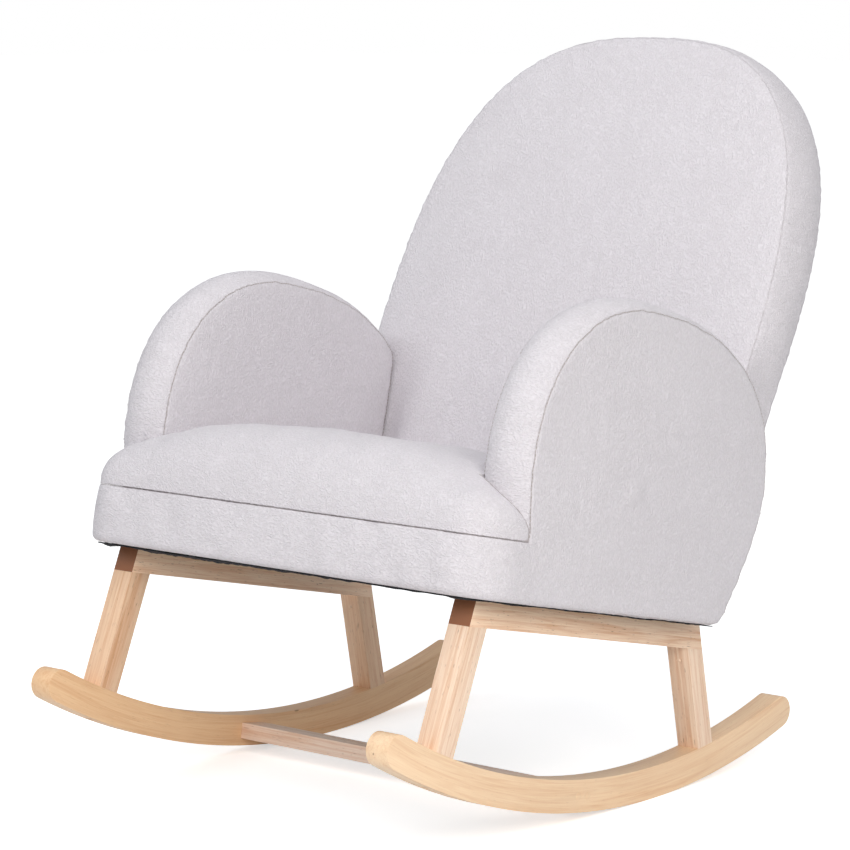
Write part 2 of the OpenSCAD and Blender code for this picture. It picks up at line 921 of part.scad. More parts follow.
// Blocks between the two boards of an arm: along the foot, at the front and at the top
module arm_spacers(side) {
    x0 = inner_board_x + arm_board;
    thick = outer_board_x - x0;
    margin = arm_padding / 2;
    foot_y = arm_front + arm_front_taper + arm_padding + margin;
    foot_length = back_foot - back_gap - margin - foot_y;
    front_y = arm_front + arm_padding + 0.6 * arm_spacer;
    top_z = base_z + arm_height - arm_padding - 4 / 3 * arm_spacer;
    on_side(side) {
        translate([x0, foot_y, base_z])
            cube([thick, foot_length, 0.6 * arm_spacer]);
        translate([x0, front_y, shoulder_z - arm_spacer])
            cube([thick, arm_spacer, 3 * arm_spacer]);
        translate([x0, arm_peak - 1.5 * arm_spacer, top_z])
            cube([thick, 3 * arm_spacer, arm_spacer]);
    }
}

// Padding on the outer board, from the board out to the side seam and its swell
module arm_outer_pad(side) {
    x0 = outer_board_x + arm_board;
    outline = arm_arch(0, base_z);
    rings = concat(
        [lift_x(arm_arch(arm_edge(x0), base_z), x0), lift_x(outline, half_width)],
        [for (s = dome_scales) lift_x(shrunk(outline, arm_center, s), half_width + arm_swell * dome(s))]
    );
    on_side(side)
        loft(
            rings,
            [x0, arm_center[0], arm_center[1]],
            [half_width + arm_swell, arm_center[0], arm_center[1]]
        );
}

// Padding on the inner board, from the top of the seat frame up and as far as the back
module arm_inner_pad(side) {
    x1 = inner_board_x;
    low = frame_top + clear;
    outline = arm_arch_stopped(0, low);
    rings = concat(
        [for (i = [len(dome_scales) - 1:-1:0])
            let (s = dome_scales[i])
                lift_x(shrunk(outline, arm_center, s), arm_inner_x - arm_swell * dome(s))],
        [lift_x(outline, arm_inner_x), lift_x(arm_arch_stopped(arm_edge(x1), low), x1)]
    );
    on_side(side)
        loft(
            rings,
            [arm_inner_x - arm_swell, arm_center[0], arm_center[1]],
            [x1, arm_center[0], arm_center[1]]
        );
}

// Padding round the edge of both boards, from the front foot over the top to the back
module arm_band_pad(side) {
    x0 = inner_board_x;
    x1 = outer_board_x + arm_board;
    xs = [for (i = [0:5]) x0 + (x1 - x0) * i / 5];
    inner = arm_arch(-arm_padding, base_z);
    layers = [for (x = xs) arm_arch(arm_edge(x), base_z)];
    n = len(inner);
    rings = [
        for (k = [n - 1:-1:0])
            concat(
                [[x1, inner[k][0], inner[k][1]], [x0, inner[k][0], inner[k][1]]],
                [for (i = [0:5]) [xs[i], layers[i][k][0], layers[i][k][1]]]
            )
    ];
    middle_x = (x0 + x1) / 2;
    on_side(side)
        difference() {
            loft(
                rings,
                [middle_x, (inner[n - 1][0] + layers[2][n - 1][0]) / 2, base_z],
                [middle_x, (inner[0][0] + layers[2][0][0]) / 2, base_z]
            );
            in_back()
                translate([0, -back_gap, -far / 2])
                    cube([half_width + arm_bulge, far, far]);
        }
}

module arm_outer_board_left() color(plywood) at_rest() arm_outer_board(1);
module arm_outer_board_right() color(plywood) at_rest() arm_outer_board(-1);
module arm_inner_board_left() color(plywood) at_rest() arm_inner_board(1);
module arm_inner_board_right() color(plywood) at_rest() arm_inner_board(-1);
module arm_spacers_left() color(wood) at_rest() arm_spacers(1);
module arm_spacers_right() color(wood) at_rest() arm_spacers(-1);
module arm_outer_pad_left() color(cloth) at_rest() arm_outer_pad(1);
module arm_outer_pad_right() color(cloth) at_rest() arm_outer_pad(-1);
module arm_inner_pad_left() color(cloth) at_rest() arm_inner_pad(1);
module arm_inner_pad_right() color(cloth) at_rest() arm_inner_pad(-1);
module arm_band_pad_left() color(cloth) at_rest() arm_band_pad(1);
module arm_band_pad_right() color(cloth) at_rest() arm_band_pad(-1);

module arm_bolts() {
    head_x = inner_board_x + arm_board + washer_h;
    color(steel)
        at_rest()
            both_sides()
                for (p = arm_bolt_places)
                    translate([0, p[0], p[1]]) {
                        rod_x(side_board_x + 1, head_x + bolt_head_h, bolt_d);
                        rod_x(head_x, head_x + bolt_head_h, bolt_head_d);
                    }
}

module arm_bolt_washers() {
    x0 = inner_board_x + arm_board;
    color(steel)
        at_rest()
            both_sides()
                for (p = arm_bolt_places)
                    translate([0, p[0], p[1]])
                        difference() {
                            rod_x(x0, x0 + washer_h, washer_d);
                            rod_x(x0 - 1, x0 + washer_h + 1, bolt_hole_d);
                        }
}

// Back

// Middle of the back's outline, for its swelling panels
back_center = [0, back_length * 0.52];

// Cylinders on the axes of the back bolts, from the depth w forwards
module on_back_bolts(w, length, d) {
    in_back()
        for (v = back_bolt_vs)
            translate([back_bolt_x, w, v])
                rotate([90, 0, 0])
                    cylinder(h = length, d = d);
}

// Upright board of the back frame, up to the foot of the arch
module back_stile(side) {
    on_side(side)
        difference() {
            in_back()
                translate([stile_x, back_padding, back_bottom_v])
                    cube([back_frame_width, back_board, back_arch_start - back_bottom_v]);
            on_back_bolts(back_rear_w + 1, back_board + 2, bolt_hole_d);
            on_back_bolts(back_rear_w + 1, 1 + bolt_head_h + washer_h, washer_d + 1);
        }
}

module back_stile_left() color(plywood) at_rest() back_stile(1);
module back_stile_right() color(plywood) at_rest() back_stile(-1);

// Straight board across the back frame, with its lower edge at the length v
module back_cross_rail(v, height) {
    color(plywood)
        at_rest()
            in_back()
                translate([-stile_x, back_padding, v])
                    cube([2 * stile_x, back_board, height]);
}

module back_bottom_rail() back_cross_rail(back_bottom_v, back_frame_width);
module back_middle_rail() back_cross_rail(back_arch_start - 2 * back_frame_width, back_frame_width);

// Arched board that closes the frame at the top
module back_top_arch() {
    edge = [
        for (i = [0:2 * back_steps])
            let (t = 180 * i / (2 * back_steps), c = cos(t))
                [
                    sign(c) * pow(abs(c), 2 / back_power),
                    pow(sin(t), 2 / back_power)
                ]
    ];
    outer_half = back_half - back_edge_padding;
    outer_rise = back_arch - back_edge_padding;
    outer = [for (p = edge) [outer_half * p[0], back_arch_start + outer_rise * p[1]]];
    inner = [
        for (i = [len(edge) - 1:-1:0])
            [
                (outer_half - back_frame_width) * edge[i][0],
                back_arch_start + (outer_rise - back_frame_width) * edge[i][1]
            ]
    ];
    color(plywood)
        at_rest()
            in_back()
                translate([0, back_rear_w, 0])
                    rotate([90, 0, 0])
                        linear_extrude(height = back_board)
                            polygon(concat(outer, inner));
}

// Elastic webbing across the front of the back frame
module back_webbing() {
    half = back_half - 4 / 3 * back_edge_padding;
    straps = 4;
    low = back_bottom_v + back_frame_width + webbing_width;
    step = (back_arch_start + back_arch * 0.35 - low) / (straps - 1);
    color(black_cloth)
        at_rest()
            in_back()
                for (i = [0:straps - 1])
                    translate([-half, back_padding - webbing_thickness, low + i * step])
                        cube([2 * half, webbing_thickness, webbing_width]);
}

module back_bolts() {
    color(steel)
        at_rest()
            both_sides() {
                on_back_bolts(back_rear_w, bolt_head_h + back_bolt_length, bolt_d);
                on_back_bolts(back_rear_w, bolt_head_h, bolt_head_d);
            }
}

module back_bolt_washers() {
    color(steel)
        at_rest()
            both_sides()
                difference() {
                    on_back_bolts(back_rear_w - bolt_head_h, washer_h, washer_d);
                    on_back_bolts(back_rear_w - bolt_head_h + 1, washer_h + 2, bolt_hole_d);
                }
}

// Padding in front of the frame, with its swell
module back_front_pad() {
    w1 = back_padding - webbing_thickness - clear;
    outline = back_arch_points(0, pad_bottom_v);
    rings = concat(
        [lift_w(back_arch_points(back_edge(w1), pad_bottom_v), w1), lift_w(outline, 0)],
        [for (s = dome_scales) lift_w(shrunk(outline, back_center, s), -back_crown * dome(s))]
    );
    color(cloth)
        at_rest()
            in_back()
                loft(
                    rings,
                    [back_center[0], w1, back_center[1]],
                    [back_center[0], -back_crown, back_center[1]]
                );
}

// Padding round the edge of the frame, above the arms
module back_edge_pad() {
    w0 = back_padding;
    w1 = back_rear_w;
    low = back_arch_start;
    outer0 = back_arch_points(back_edge(w0), low);
    outer1 = back_arch_points(back_edge(w1), low);
    inner = back_arch_points(-back_edge_padding, low);
    n = len(inner);
    rings = [
        for (k = [6:n - 7])
            [
                [inner[k][0], w0, inner[k][1]],
                [inner[k][0], w1, inner[k][1]],
                [outer1[k][0], w1, outer1[k][1]],
                [outer0[k][0], w0, outer0[k][1]]
            ]
    ];
    first = rings[0];
    last = rings[len(rings) - 1];
    color(cloth)
        at_rest()
            in_back()
                loft(
                    rings,
                    (first[0] + first[2]) / 2,
                    (last[0] + last[2]) / 2
                );
}

// Padding and panel behind the frame
module back_outside_pad() {
    outline = back_arch_points(0, back_bottom_v);
    function rear_ring(outline, lift) = [for (p = outline) [p[0], back_depth(p[1]) + lift, p[1]]];
    rings = concat(
        [for (i = [len(dome_scales) - 1:-1:0])
            rear_ring(shrunk(outline, back_center, dome_scales[i]), 4 * dome(dome_scales[i]))],
        [
            rear_ring(outline, 0),
            lift_w(back_arch_points(back_edge(back_rear_w), back_bottom_v), back_rear_w + clear)
        ]
    );
    color(cloth)
        at_rest()
            in_back()
                loft(
                    rings,
                    [back_center[0], back_depth(back_center[1]) + 4, back_center[1]],
                    [back_center[0], back_rear_w + clear, back_center[1]]
                );
}

rail_left();
rail_right();
leg_front_left();
leg_front_right();
leg_rear_left();
leg_rear_right();
rocker_left();
rocker_right();
stretcher();
leg_dowels();
rocker_screws();
stretcher_screws();
rail_bolts();
rail_washers();
rail_inserts();
seat_front_board();
seat_rear_board();
seat_side_board_left();
seat_side_board_right();
corner_blocks();
corner_block_screws();
seat_springs();
spring_clips();
dust_cover();
dust_cover_staples();
seat_front_pad();
seat_cushion();
arm_outer_board_left();
arm_outer_board_right();
arm_inner_board_left();
arm_inner_board_right();
arm_spacers_left();
arm_spacers_right();
arm_outer_pad_left();
arm_outer_pad_right();
arm_inner_pad_left();
arm_inner_pad_right();
arm_band_pad_left();
arm_band_pad_right();
arm_bolts();
arm_bolt_washers();
back_stile_left();
back_stile_right();
back_bottom_rail();
back_middle_rail();
back_top_arch();
back_webbing();
back_bolts();
back_bolt_washers();
back_front_pad();
back_edge_pad();
back_outside_pad();
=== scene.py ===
import json
import math

import bmesh
import bpy
import numpy as np
from bpy.props import FloatProperty, FloatVectorProperty, PointerProperty
from bpy.types import Operator, Panel, PropertyGroup
from mathutils import Euler, Matrix


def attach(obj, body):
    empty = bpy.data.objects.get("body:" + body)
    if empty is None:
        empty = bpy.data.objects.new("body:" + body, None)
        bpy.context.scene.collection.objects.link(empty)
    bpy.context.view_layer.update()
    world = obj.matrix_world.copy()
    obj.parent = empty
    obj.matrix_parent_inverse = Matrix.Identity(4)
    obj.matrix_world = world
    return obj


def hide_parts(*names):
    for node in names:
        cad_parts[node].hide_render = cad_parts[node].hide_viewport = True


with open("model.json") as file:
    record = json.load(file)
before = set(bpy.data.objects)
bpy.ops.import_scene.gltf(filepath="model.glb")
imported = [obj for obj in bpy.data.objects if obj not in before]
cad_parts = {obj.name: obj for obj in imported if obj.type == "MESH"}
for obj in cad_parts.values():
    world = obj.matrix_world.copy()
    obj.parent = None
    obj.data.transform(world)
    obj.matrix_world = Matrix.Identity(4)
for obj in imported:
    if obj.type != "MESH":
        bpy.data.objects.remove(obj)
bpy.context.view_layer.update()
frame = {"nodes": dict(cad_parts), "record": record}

bl_info = {
    "name": "Upholstered rocking chair",
    "version": (1, 0, 0),
    "blender": (4, 5, 0),
    "location": "View3D > Sidebar > Rocking Chair",
    "description": "Builds the upholstery, the timber and the studio of a rocking chair",
    "category": "Add Mesh",
}

SIDES = {"left": 1.0, "right": -1.0}
LIGHTS = (
    ("key", (2.6, -2.4, 2.2), (1.0, 0.97, 0.935)),
    ("fill", (-1.6, -2.6, 3.0), (0.93, 0.96, 1.0)),
    ("top", (0.0, -0.4, 3.4), (0.965, 0.98, 1.0)),
    ("rear", (0.0, 3.2, 1.5), (1.0, 1.0, 1.0)),
)
# Size of each lamp, and the place that all of them face
LAMP_SIZE = (2.6, 2.0)
LAMP_AIM = (0.0, 0.0, 0.4)
WHITE = (1.0, 1.0, 1.0, 1.0)
# How the crepe is drawn out across and up the chair
UPRIGHT, SIDEWAYS, EVEN = (1.0, 1.0, 0.58), (0.48, 1.0, 1.0), (0.75, 0.75, 1.0)
# Cover materials: name, stretch of the crepe and strength of the seam line
COVERS = {
    "panel": ("Cover panel", UPRIGHT, 0.25),
    "band": ("Cover band", SIDEWAYS, 0.25),
    "back panel": ("Cover back panel", UPRIGHT, 0.12),
    "back band": ("Cover back band", SIDEWAYS, 0.12),
    "plain": ("Cover seat", EVEN, 0.50),
    "front": ("Cover front", SIDEWAYS, 0.50),
}
# Plain materials: name, tone, roughness, metal, and the scale and strength of the mottling
PLAIN = {
    "plywood": ("Plywood", (0.62, 0.44, 0.26), 0.7, 0.0, 300.0, 0.12),
    "steel": ("Steel", (0.55, 0.56, 0.58), 0.35, 1.0, 300.0, 0.12),
    "black_cloth": ("Black cloth", (0.012, 0.012, 0.016), 0.9, 0.0, 900.0, 0.4),
}
RIGHT_ANGLE = math.radians(90.0)
# Clearance between two covers that meet at a seam, and the threads' clearance over the cloth
MEET, RAISED = 0.0003, 0.0003
# Largest turn across an edge that was only cut for the solids, and the least at a real edge
FLAT_TURN, EDGE_TURN = math.radians(0.1), math.radians(35.0)
# Largest turn between two faces of the timber that still look like one rounded surface
TIMBER_ANGLE = math.radians(32.0)
# Sides of a stitch and of a plug
THREAD_SIDES, PLUG_SIDES = 6, 24
# Spread of the stitches' sizes, and the most that a plug is turned, in radians
STITCH_SPREAD, PLUG_TURN = 0.15, 0.6
# First seed of the soft waves in each kind of piece
SEEDS = {"arm": 11, "back": 31, "band": 51, "cushion": 61, "cover": 71, "stitches": 7, "plugs": 3}
# Fullness of an arm's arch behind its top and in front of it: 2 is an ellipse
REAR_POWER, FRONT_POWER = 2.4, 2.2
# Heights between which the end of an arm's inner part turns upright
STOP_LOW, STOP_HIGH = 0.165, 0.235
# Distances from the middle between which the arms press the back in
PRESS_START, PRESS_FULL = 0.195, 0.264
# Place of the folds in the cushion's notches: across, and behind the rails' front end
NOTCH = (0.262, 0.050)
# Point inside the back that its cover is pressed towards: behind its front and up its lean
BACK_HEART = (0.04, 0.42)
# Points along the foot of an arm's and of the back's outline
ARM_FOOT, BACK_FOOT = 90, 120
# Distance from a seam that counts as far away in the seam UV, and the one where it is tucked in
FAR, TUCKED = 0.1, 0.012
# Largest turn between two faces that still look like one soft surface
SOFT_ANGLE = math.radians(62.0)


def length(name, default, description):
    """A property that holds a length in metres."""
    return FloatProperty(
        name=name, description=description, default=default, unit="LENGTH", precision=4
    )


def colour(name, default, description):
    """A property that holds a linear colour."""
    return FloatVectorProperty(
        name=name, description=description, default=default, subtype="COLOR",
        size=3, min=0.0, max=1.0,
    )


def factor(name, default, description, low=0.0, high=1.0):
    """A property that holds a plain number."""
    return FloatProperty(
        name=name, description=description, default=default, min=low, max=high
    )


class ChairSizes(PropertyGroup):
    """Sizes of the chair, the same as in its solids."""

    rest_tilt: FloatProperty(
        name="Rest tilt", description="Backward lean of the rails at rest",
        default=math.radians(12.4), subtype="ANGLE",
    )
    rocker_radius: length("Rocker radius", 1.021, "Radius of a rocker's underside")
    rocker_y: length("Rocker low point", 0.198, "Lowest line behind the rails' front end")
    rocker_z: length("Rocker centre", 0.803, "Height of the rocker's centre over the rails")
    base_z: length("Upholstery base", 0.034, "Height of the dust cover's top")
    seam_z: length("Cushion seam", 0.108, "Height of the seam under the cushion")
    frame_top: length("Frame top", 0.102, "Height of the seat frame's top")
    half_width: length("Half width", 0.343, "Half of the width over the side seams")
    seat_front: length("Seat overhang", 0.041, "Reach of the seat in front of the rails")
    seat_corner: length("Seat corner", 0.062, "Radius of the seat's front corners")
    band_wall: length("Band depth", 0.010, "Depth of the padded band in front of the seat")
    band_swell: length("Band swell", 0.0022, "Swell of the band's face")
    cushion_crown: length("Cushion crown", 0.107, "Rise of the cushion over its seam")
    cushion_edge: length("Cushion edge", 0.006, "Height of the cushion's edge at its seam")
    cushion_round: length("Cushion round", 0.105, "Depth of the cushion's rounded front")
    arm_thickness: length("Arm thickness", 0.073, "Width between an arm's two seams")
    arm_shoulder: length("Arm shoulder", 0.166, "Height of an arm's widest part over its foot")
    arm_rise: length("Arm rise", 0.209, "Height of an arm's arch over its shoulder")
    arm_front: length("Arm front", 0.0245, "Front seam of an arm behind the rails' front end")
    arm_front_taper: length("Arm front taper", 0.031, "Inward run of the front seam")
    arm_rear: length("Arm rear", 0.511, "Rear seam of an arm behind the rails' front end")
    arm_rear_taper: length("Arm rear taper", 0.064, "Inward run of the rear seam")
    arm_peak: length("Arm peak", 0.227, "Top of an arm behind the rails' front end")
    arm_bulge: length("Arm bulge", 0.013, "Rise of an arm's rounded band over its seams")
    arm_swell: length("Arm swell", 0.005, "Swell of an arm's flat panels")
    arm_rim: length("Arm rim", 0.0022, "Rise of an arm's panel just inside its seam")
    arm_split: length("Arm split", 0.3215, "Distance of the back's side from the middle")
    ear_rear: length("Ear end", 0.016, "Rear end of the ears behind the rails' front end")
    ear_gap: length("Ear gap", 0.0006, "Gap between an ear and the arm behind it")
    tongue_gap: length("Cushion side gap", 0.0025, "Gap between the cushion and the arms")
    cushion_gap: length("Cushion rear gap", 0.0085, "Gap between the cushion and the back")
    tongue_round: length("Cushion side round", 0.034, "Reach of the round along the arms")
    tongue_drop: length("Cushion side drop", 0.020, "Fall of the cushion along the arms")
    foot_round: length("Foot round", 0.009, "Radius of the upholstery's lower edge")
    arm_clear: length("Arm to back", 0.0115, "Distance of an arm's inner part from the back")
    arm_meet: length("Arm end", 0.4585, "Place where an arm's inner part ends over the seat")
    inner_board_x: length("Inner board", 0.294, "Inner face of an arm's inner board")
    back_half: length("Back half width", 0.320, "Half of the back's width between its seams")
    back_base: length("Back base", 0.033, "Height from which the back's length counts")
    back_foot: length("Back foot", 0.384, "Foot of the back behind the rails' front end")
    back_lean: FloatProperty(
        name="Back lean", description="Lean of the back from the rails' upright",
        default=math.radians(14.6), subtype="ANGLE",
    )
    back_length: length("Back length", 0.815, "Length of the back up its lean")
    back_power: factor(
        "Back fullness", 2.7, "Fullness of the arch: 2 is an ellipse, more is squarer", 2.0, 5.0)
    back_arch: length("Back arch", 0.441, "Length of the back's arched part")
    back_crown: length("Back crown", 0.014, "Swell of the back's front panel")
    back_rim: length("Back rim", 0.0025, "Rise of the front panel just inside its seam")
    back_rear_swell: length("Back rear swell", 0.004, "Swell of the back's outside panel")
    back_bulge: length("Back bulge", 0.011, "Rise of the back's rounded band over its seams")
    back_depth_low: length("Back depth at foot", 0.061, "Thickness of the back at its foot")
    back_depth_high: length("Back depth at top", 0.097, "Thickness of the back at its top")
    back_free_v: length("Back free length", 0.3307, "Length at which the back leaves the arms")
    cover_thick: length("Dust cover", 0.001, "Thickness of the dust cover's cloth")
    cover_inset: length("Dust cover inset", 0.008, "Distance of its edge from the sides")
    cover_rear: length("Dust cover rear", 0.447, "Rear edge behind the rails' front end")
    cover_sag: length("Dust cover sag", 0.0034, "Hang of the dust cover where no rail holds it")
    rail_half: length("Rail place", 0.2835, "Middle of a rail from the middle of the chair")
    rocker_face: length("Rocker face", 0.300, "Outer face of a rocker from the middle")
    plug_radius: length("Plug radius", 0.0050, "Radius of the wooden plugs over the screws")
    plug_y: length("Plug place", 0.26777, "Middle of the two plugs behind the rails' front end")
    plug_z: length("Plug drop", -0.19481, "Middle of the two plugs below the rails")
    plug_step_y: length("Plug step back", 0.00973, "Half of the plugs' distance along the rocker")
    plug_step_z: length("Plug step up", 0.00068, "Half of the plugs' difference in height")
    seam_depth: length("Seam depth", 0.0012, "Depth of a sewn seam's groove")
    seam_reach: length("Seam reach", 0.0045, "Reach of a seam's groove to each side")
    pucker: length("Puckers", 0.0007, "Height of the puckers beside a sewn seam")
    pucker_reach: length("Pucker reach", 0.016, "Distance over which the puckers fade")
    slack: length("Slack", 0.0006, "Height of the soft waves in a panel")
    grid: length("Mesh step", 0.0042, "Spacing of the mesh round an edge")


class ClothLook(PropertyGroup):
    """Colours and sizes of the cover cloth."""

    base: colour("Cloth", (0.780, 0.748, 0.785), "Off-white of the cover")
    # Painted shade: the crepe's valleys are darkened towards this colour, together with a broad
    # random mottling of the tone
    crease: colour("Cloth creases", (0.620, 0.585, 0.615), "Shade in the cloth's creases")
    # Partly the brown of the seam's thread, partly painted shade in the seam's groove
    seam: colour("Seam", (0.210, 0.140, 0.110), "Brown-grey of the sewn seams")
    thread: colour("Thread", (0.560, 0.490, 0.450), "Colour of the sewing thread")
    crepe: factor("Crepe scale", 500.0, "Ridges of the crepe in a metre", 50.0, 2000.0)
    bump: factor("Crepe depth", 0.95, "Strength of the crepe's relief")
    stitch: length("Stitch", 0.0032, "Length of a stitch")
    stitch_gap: length("Stitch gap", 0.0014, "Gap between two stitches")
    thread_radius: length("Thread radius", 0.00035, "Half of the sewing thread's thickness")


class WoodLook(PropertyGroup):
    """Colours of the timber."""

    rail: colour("Rails", (1.000, 0.745, 0.540), "Rubberwood of the rails")
    leg: colour("Legs", (1.000, 0.785, 0.610), "Pale wood of the legs")
    rocker: colour("Rockers", (0.980, 0.725, 0.480), "Laminated wood of the rockers")
    stretcher: colour("Stretcher", (1.000, 0.800, 0.670), "Pinkish wood of the stretcher")
    end: colour("End grain", (0.300, 0.115, 0.050), "Dark end grain of the rails")
    # Painted shade: the right side's legs and rockers, on the far side from the camera, get this
    # warmer, darker tint in place of the warm bounce light in their shade
    far_side_shade: colour("Painted far-side shade", (0.940, 0.850, 0.750), "Tint of the right side's boards")
    bevel: length("Bevel", 0.0012, "Width of the rounded edges")
    rake_front: FloatProperty(
        name="Front rake", description="Forward rake of the front legs",
        default=math.radians(10.8), subtype="ANGLE",
    )
    rake_rear: FloatProperty(
        name="Rear rake", description="Backward rake of the rear legs",
        default=math.radians(23.0), subtype="ANGLE",
    )


class StageLook(PropertyGroup):
    """Camera, floor and lights."""

    camera: FloatVectorProperty(
        name="Camera", description="Place of the camera", size=3, unit="LENGTH",
        default=(2.7336, -3.2878, 1.0415),
    )
    turn: FloatVectorProperty(
        name="Camera turn", description="Rotation of the camera", size=3, subtype="EULER",
        default=(math.radians(82.2886), math.radians(0.2309), math.radians(40.3538)),
    )
    lens: factor("Lens", 138.88, "Focal length in millimetres", 10.0, 500.0)
    shift_x: factor("Shift X", -0.01203, "Sideways shift of the lens", -1.0, 1.0)
    shift_y: factor("Shift Y", -0.00667, "Upward shift of the lens", -1.0, 1.0)
    sky: factor("Sky", 0.40, "Strength of the light from all sides", 0.0, 5.0)
    key: factor("Key light", 84.0, "Power in watts of the soft light on the right", 0.0, 500.0)
    fill: factor("Fill light", 21.0, "Power in watts of the soft light on the left", 0.0, 500.0)
    top: factor("Top light", 24.0, "Power in watts of the soft light overhead", 0.0, 500.0)
    rear: factor("Rear light", 15.0, "Power in watts of the soft light behind", 0.0, 500.0)
    floor_size: length("Floor", 60.0, "Side of the floor")
    lift: factor("Floor lift", 0.555, "Brightness added to the floor for the camera", 0.0, 2.0)


# Sizes and places

def resting(s, points):
    """Points of the level chair, placed as the chair rests on the floor."""
    p = np.asarray(points, float)
    c, n = math.cos(s.rest_tilt), math.sin(s.rest_tilt)
    y = c * p[..., 1] + n * p[..., 2] - (s.rocker_y * c + s.rocker_z * n)
    z = c * p[..., 2] - n * p[..., 1] + s.rocker_radius - (s.rocker_z * c - s.rocker_y * n)
    return np.stack([p[..., 0], y, z], axis=-1)


def back_face(s, z):
    """Distance of the back's front face behind the rails' front end at the height z."""
    return s.back_foot + (z - s.back_base) * math.tan(s.back_lean)


def smooth_step(value, low, high):
    """Smooth rise from 0 at low to 1 at high."""
    k = np.clip((value - low) / (high - low), 0, 1)
    return k * k * (3 - 2 * k)


def arm_stop(s, z):
    """Distance behind the rails' front end at which an arm's inner part meets the back."""
    plane = back_face(s, z) - s.arm_clear
    return plane + np.maximum(0, s.arm_meet - plane) * smooth_step(z, STOP_LOW, STOP_HIGH)


def back_press(s, x, z):
    """Depth to which the arms press the back's front in at the place x and the height z."""
    depth = (arm_stop(s, z) + s.arm_clear - back_face(s, z)) * math.cos(s.back_lean)
    return depth * smooth_step(np.abs(x), PRESS_START, PRESS_FULL)


def in_back(s, x, w, v):
    """Point of the back: across, behind its front face and up its lean."""
    c, n = math.cos(s.back_lean), math.sin(s.back_lean)
    return np.stack([x, s.back_foot + w * c + v * n, s.back_base + v * c - w * n], axis=-1)


def waves(seed, count, low, high, u, v):
    """Smooth seeded noise of two coordinates, as a sum of waves, within about -1 to 1."""
    rng = np.random.default_rng(seed)
    total = np.zeros(np.broadcast(u, v).shape)
    for _ in range(count):
        turn = rng.uniform(0, 2 * math.pi)
        size = 2 * math.pi / math.exp(rng.uniform(math.log(low), math.log(high)))
        phase = rng.uniform(0, 2 * math.pi)
        total = total + np.sin(size * (math.cos(turn) * u + math.sin(turn) * v) + phase)
    return total / math.sqrt(count)


def mirrored(points, sign):
    """Points of the left side, or their mirror images on the right side."""
    return np.asarray(points) * np.array([sign, 1, 1])


def smooth_min(a, b, k):
    """Lesser of a and b, rounded over where they are within k of each other."""
    h = np.clip(0.5 + 0.5 * (b - a) / k, 0, 1)
    return b * (1 - h) + a * h - k * h * (1 - h)


def evenly(outline, step):
    """Indices that pick points about a step apart from a dense outline."""
    run = np.concatenate([[0], np.cumsum(np.linalg.norm(np.diff(outline, axis=0), axis=1))])
    count = max(8, int(round(run[-1] / step)))
    return np.searchsorted(run, np.linspace(0, run[-1], count + 1)).clip(0, len(outline) - 1)


# Mesh

def new_object(name, data, replaced=()):
    """Link a finished mesh as a piece that rides on the chair."""
    piece = bpy.data.objects.new(name, data)
    bpy.context.scene.collection.objects.link(piece)
    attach(piece, "root")
    if replaced:
        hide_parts(*replaced)
    return piece


def ring_mesh(name, rings, poles, materials, zone, seam_uv):
    """Closed mesh through rings of points, with a pole at each end.

    zone gives the material of each step between rings, one more for each pole's fan first
    and last. seam_uv gives each ring point's distance across to the nearest seam and along it.
    """
    count, around = rings.shape[:2]
    vertices = np.concatenate([rings.reshape(-1, 3), np.asarray(poles, float)])
    faces, owner, corners = [], [], []

    def uv(i, j):
        return seam_uv[min(max(i, 0), count - 1), j]

    for i in range(count - 1):
        for j in range(around):
            k = (j + 1) % around
            a, b = i * around, (i + 1) * around
            faces.append((a + j, b + j, b + k, a + k))
            corners.append((uv(i, j), uv(i + 1, j), uv(i + 1, j + 1), uv(i, j + 1)))
            owner.append(zone[i + 1])
    for pole, i in ((0, 0), (1, count - 1)):
        for j in range(around):
            k = (j + 1) % around
            faces.append((i * around + j, i * around + k, count * around + pole))
            corners.append((uv(i, j), uv(i, j + 1), (FAR, uv(i, j)[1])))
            owner.append(zone[0] if pole == 0 else zone[-1])
    mesh = shell(name, vertices, faces, materials)
    mesh.polygons.foreach_set("material_index", np.asarray(owner, np.int32))
    lay_seam_uv(mesh, corners)
    return mesh


def shell(name, vertices, faces, materials=()):
    """Smooth mesh with its materials."""
    mesh = bpy.data.meshes.new(name)
    mesh.from_pydata(np.asarray(vertices).tolist(), [], faces)
    for material in materials:
        mesh.materials.append(material)
    mesh.polygons.foreach_set("use_smooth", [True] * len(mesh.polygons))
    return mesh


def lay_seam_uv(mesh, corners):
    """Give a mesh its distances across to the seam and along it, then turn it outwards."""
    layer = mesh.uv_layers.new(name="seam")
    flat = np.array([pair for face in corners for pair in face], np.float32)
    layer.data.foreach_set("uv", flat.ravel())
    outwards(mesh)


def outwards(mesh):
    """Turn a closed mesh's faces outwards, without the points that no face uses."""
    bm = bmesh.new()
    bm.from_mesh(mesh)
    loose = [v for v in bm.verts if not v.link_faces]
    bmesh.ops.delete(bm, geom=loose, context="VERTS")
    bmesh.ops.recalc_face_normals(bm, faces=bm.faces)
    if bm.calc_volume(signed=True) < 0:
        bmesh.ops.reverse_faces(bm, faces=bm.faces)
    bm.to_mesh(mesh)
    bm.free()
    mesh.update()


def tube_mesh(name, rings):
    """Closed mesh through equal rings of points, with a face over each end."""
    around = len(rings[0])
    last = (len(rings) - 1) * around
    faces = []
    for i in range(0, last, around):
        for j in range(around):
            k = (j + 1) % around
            faces.append((i + j, i + k, i + around + k, i + around + j))
    faces.append(tuple(range(around)))
    faces.append(tuple(range(last, last + around))[::-1])
    mesh = shell(name, [point for ring in rings for point in ring], faces)
    outwards(mesh)
    return mesh


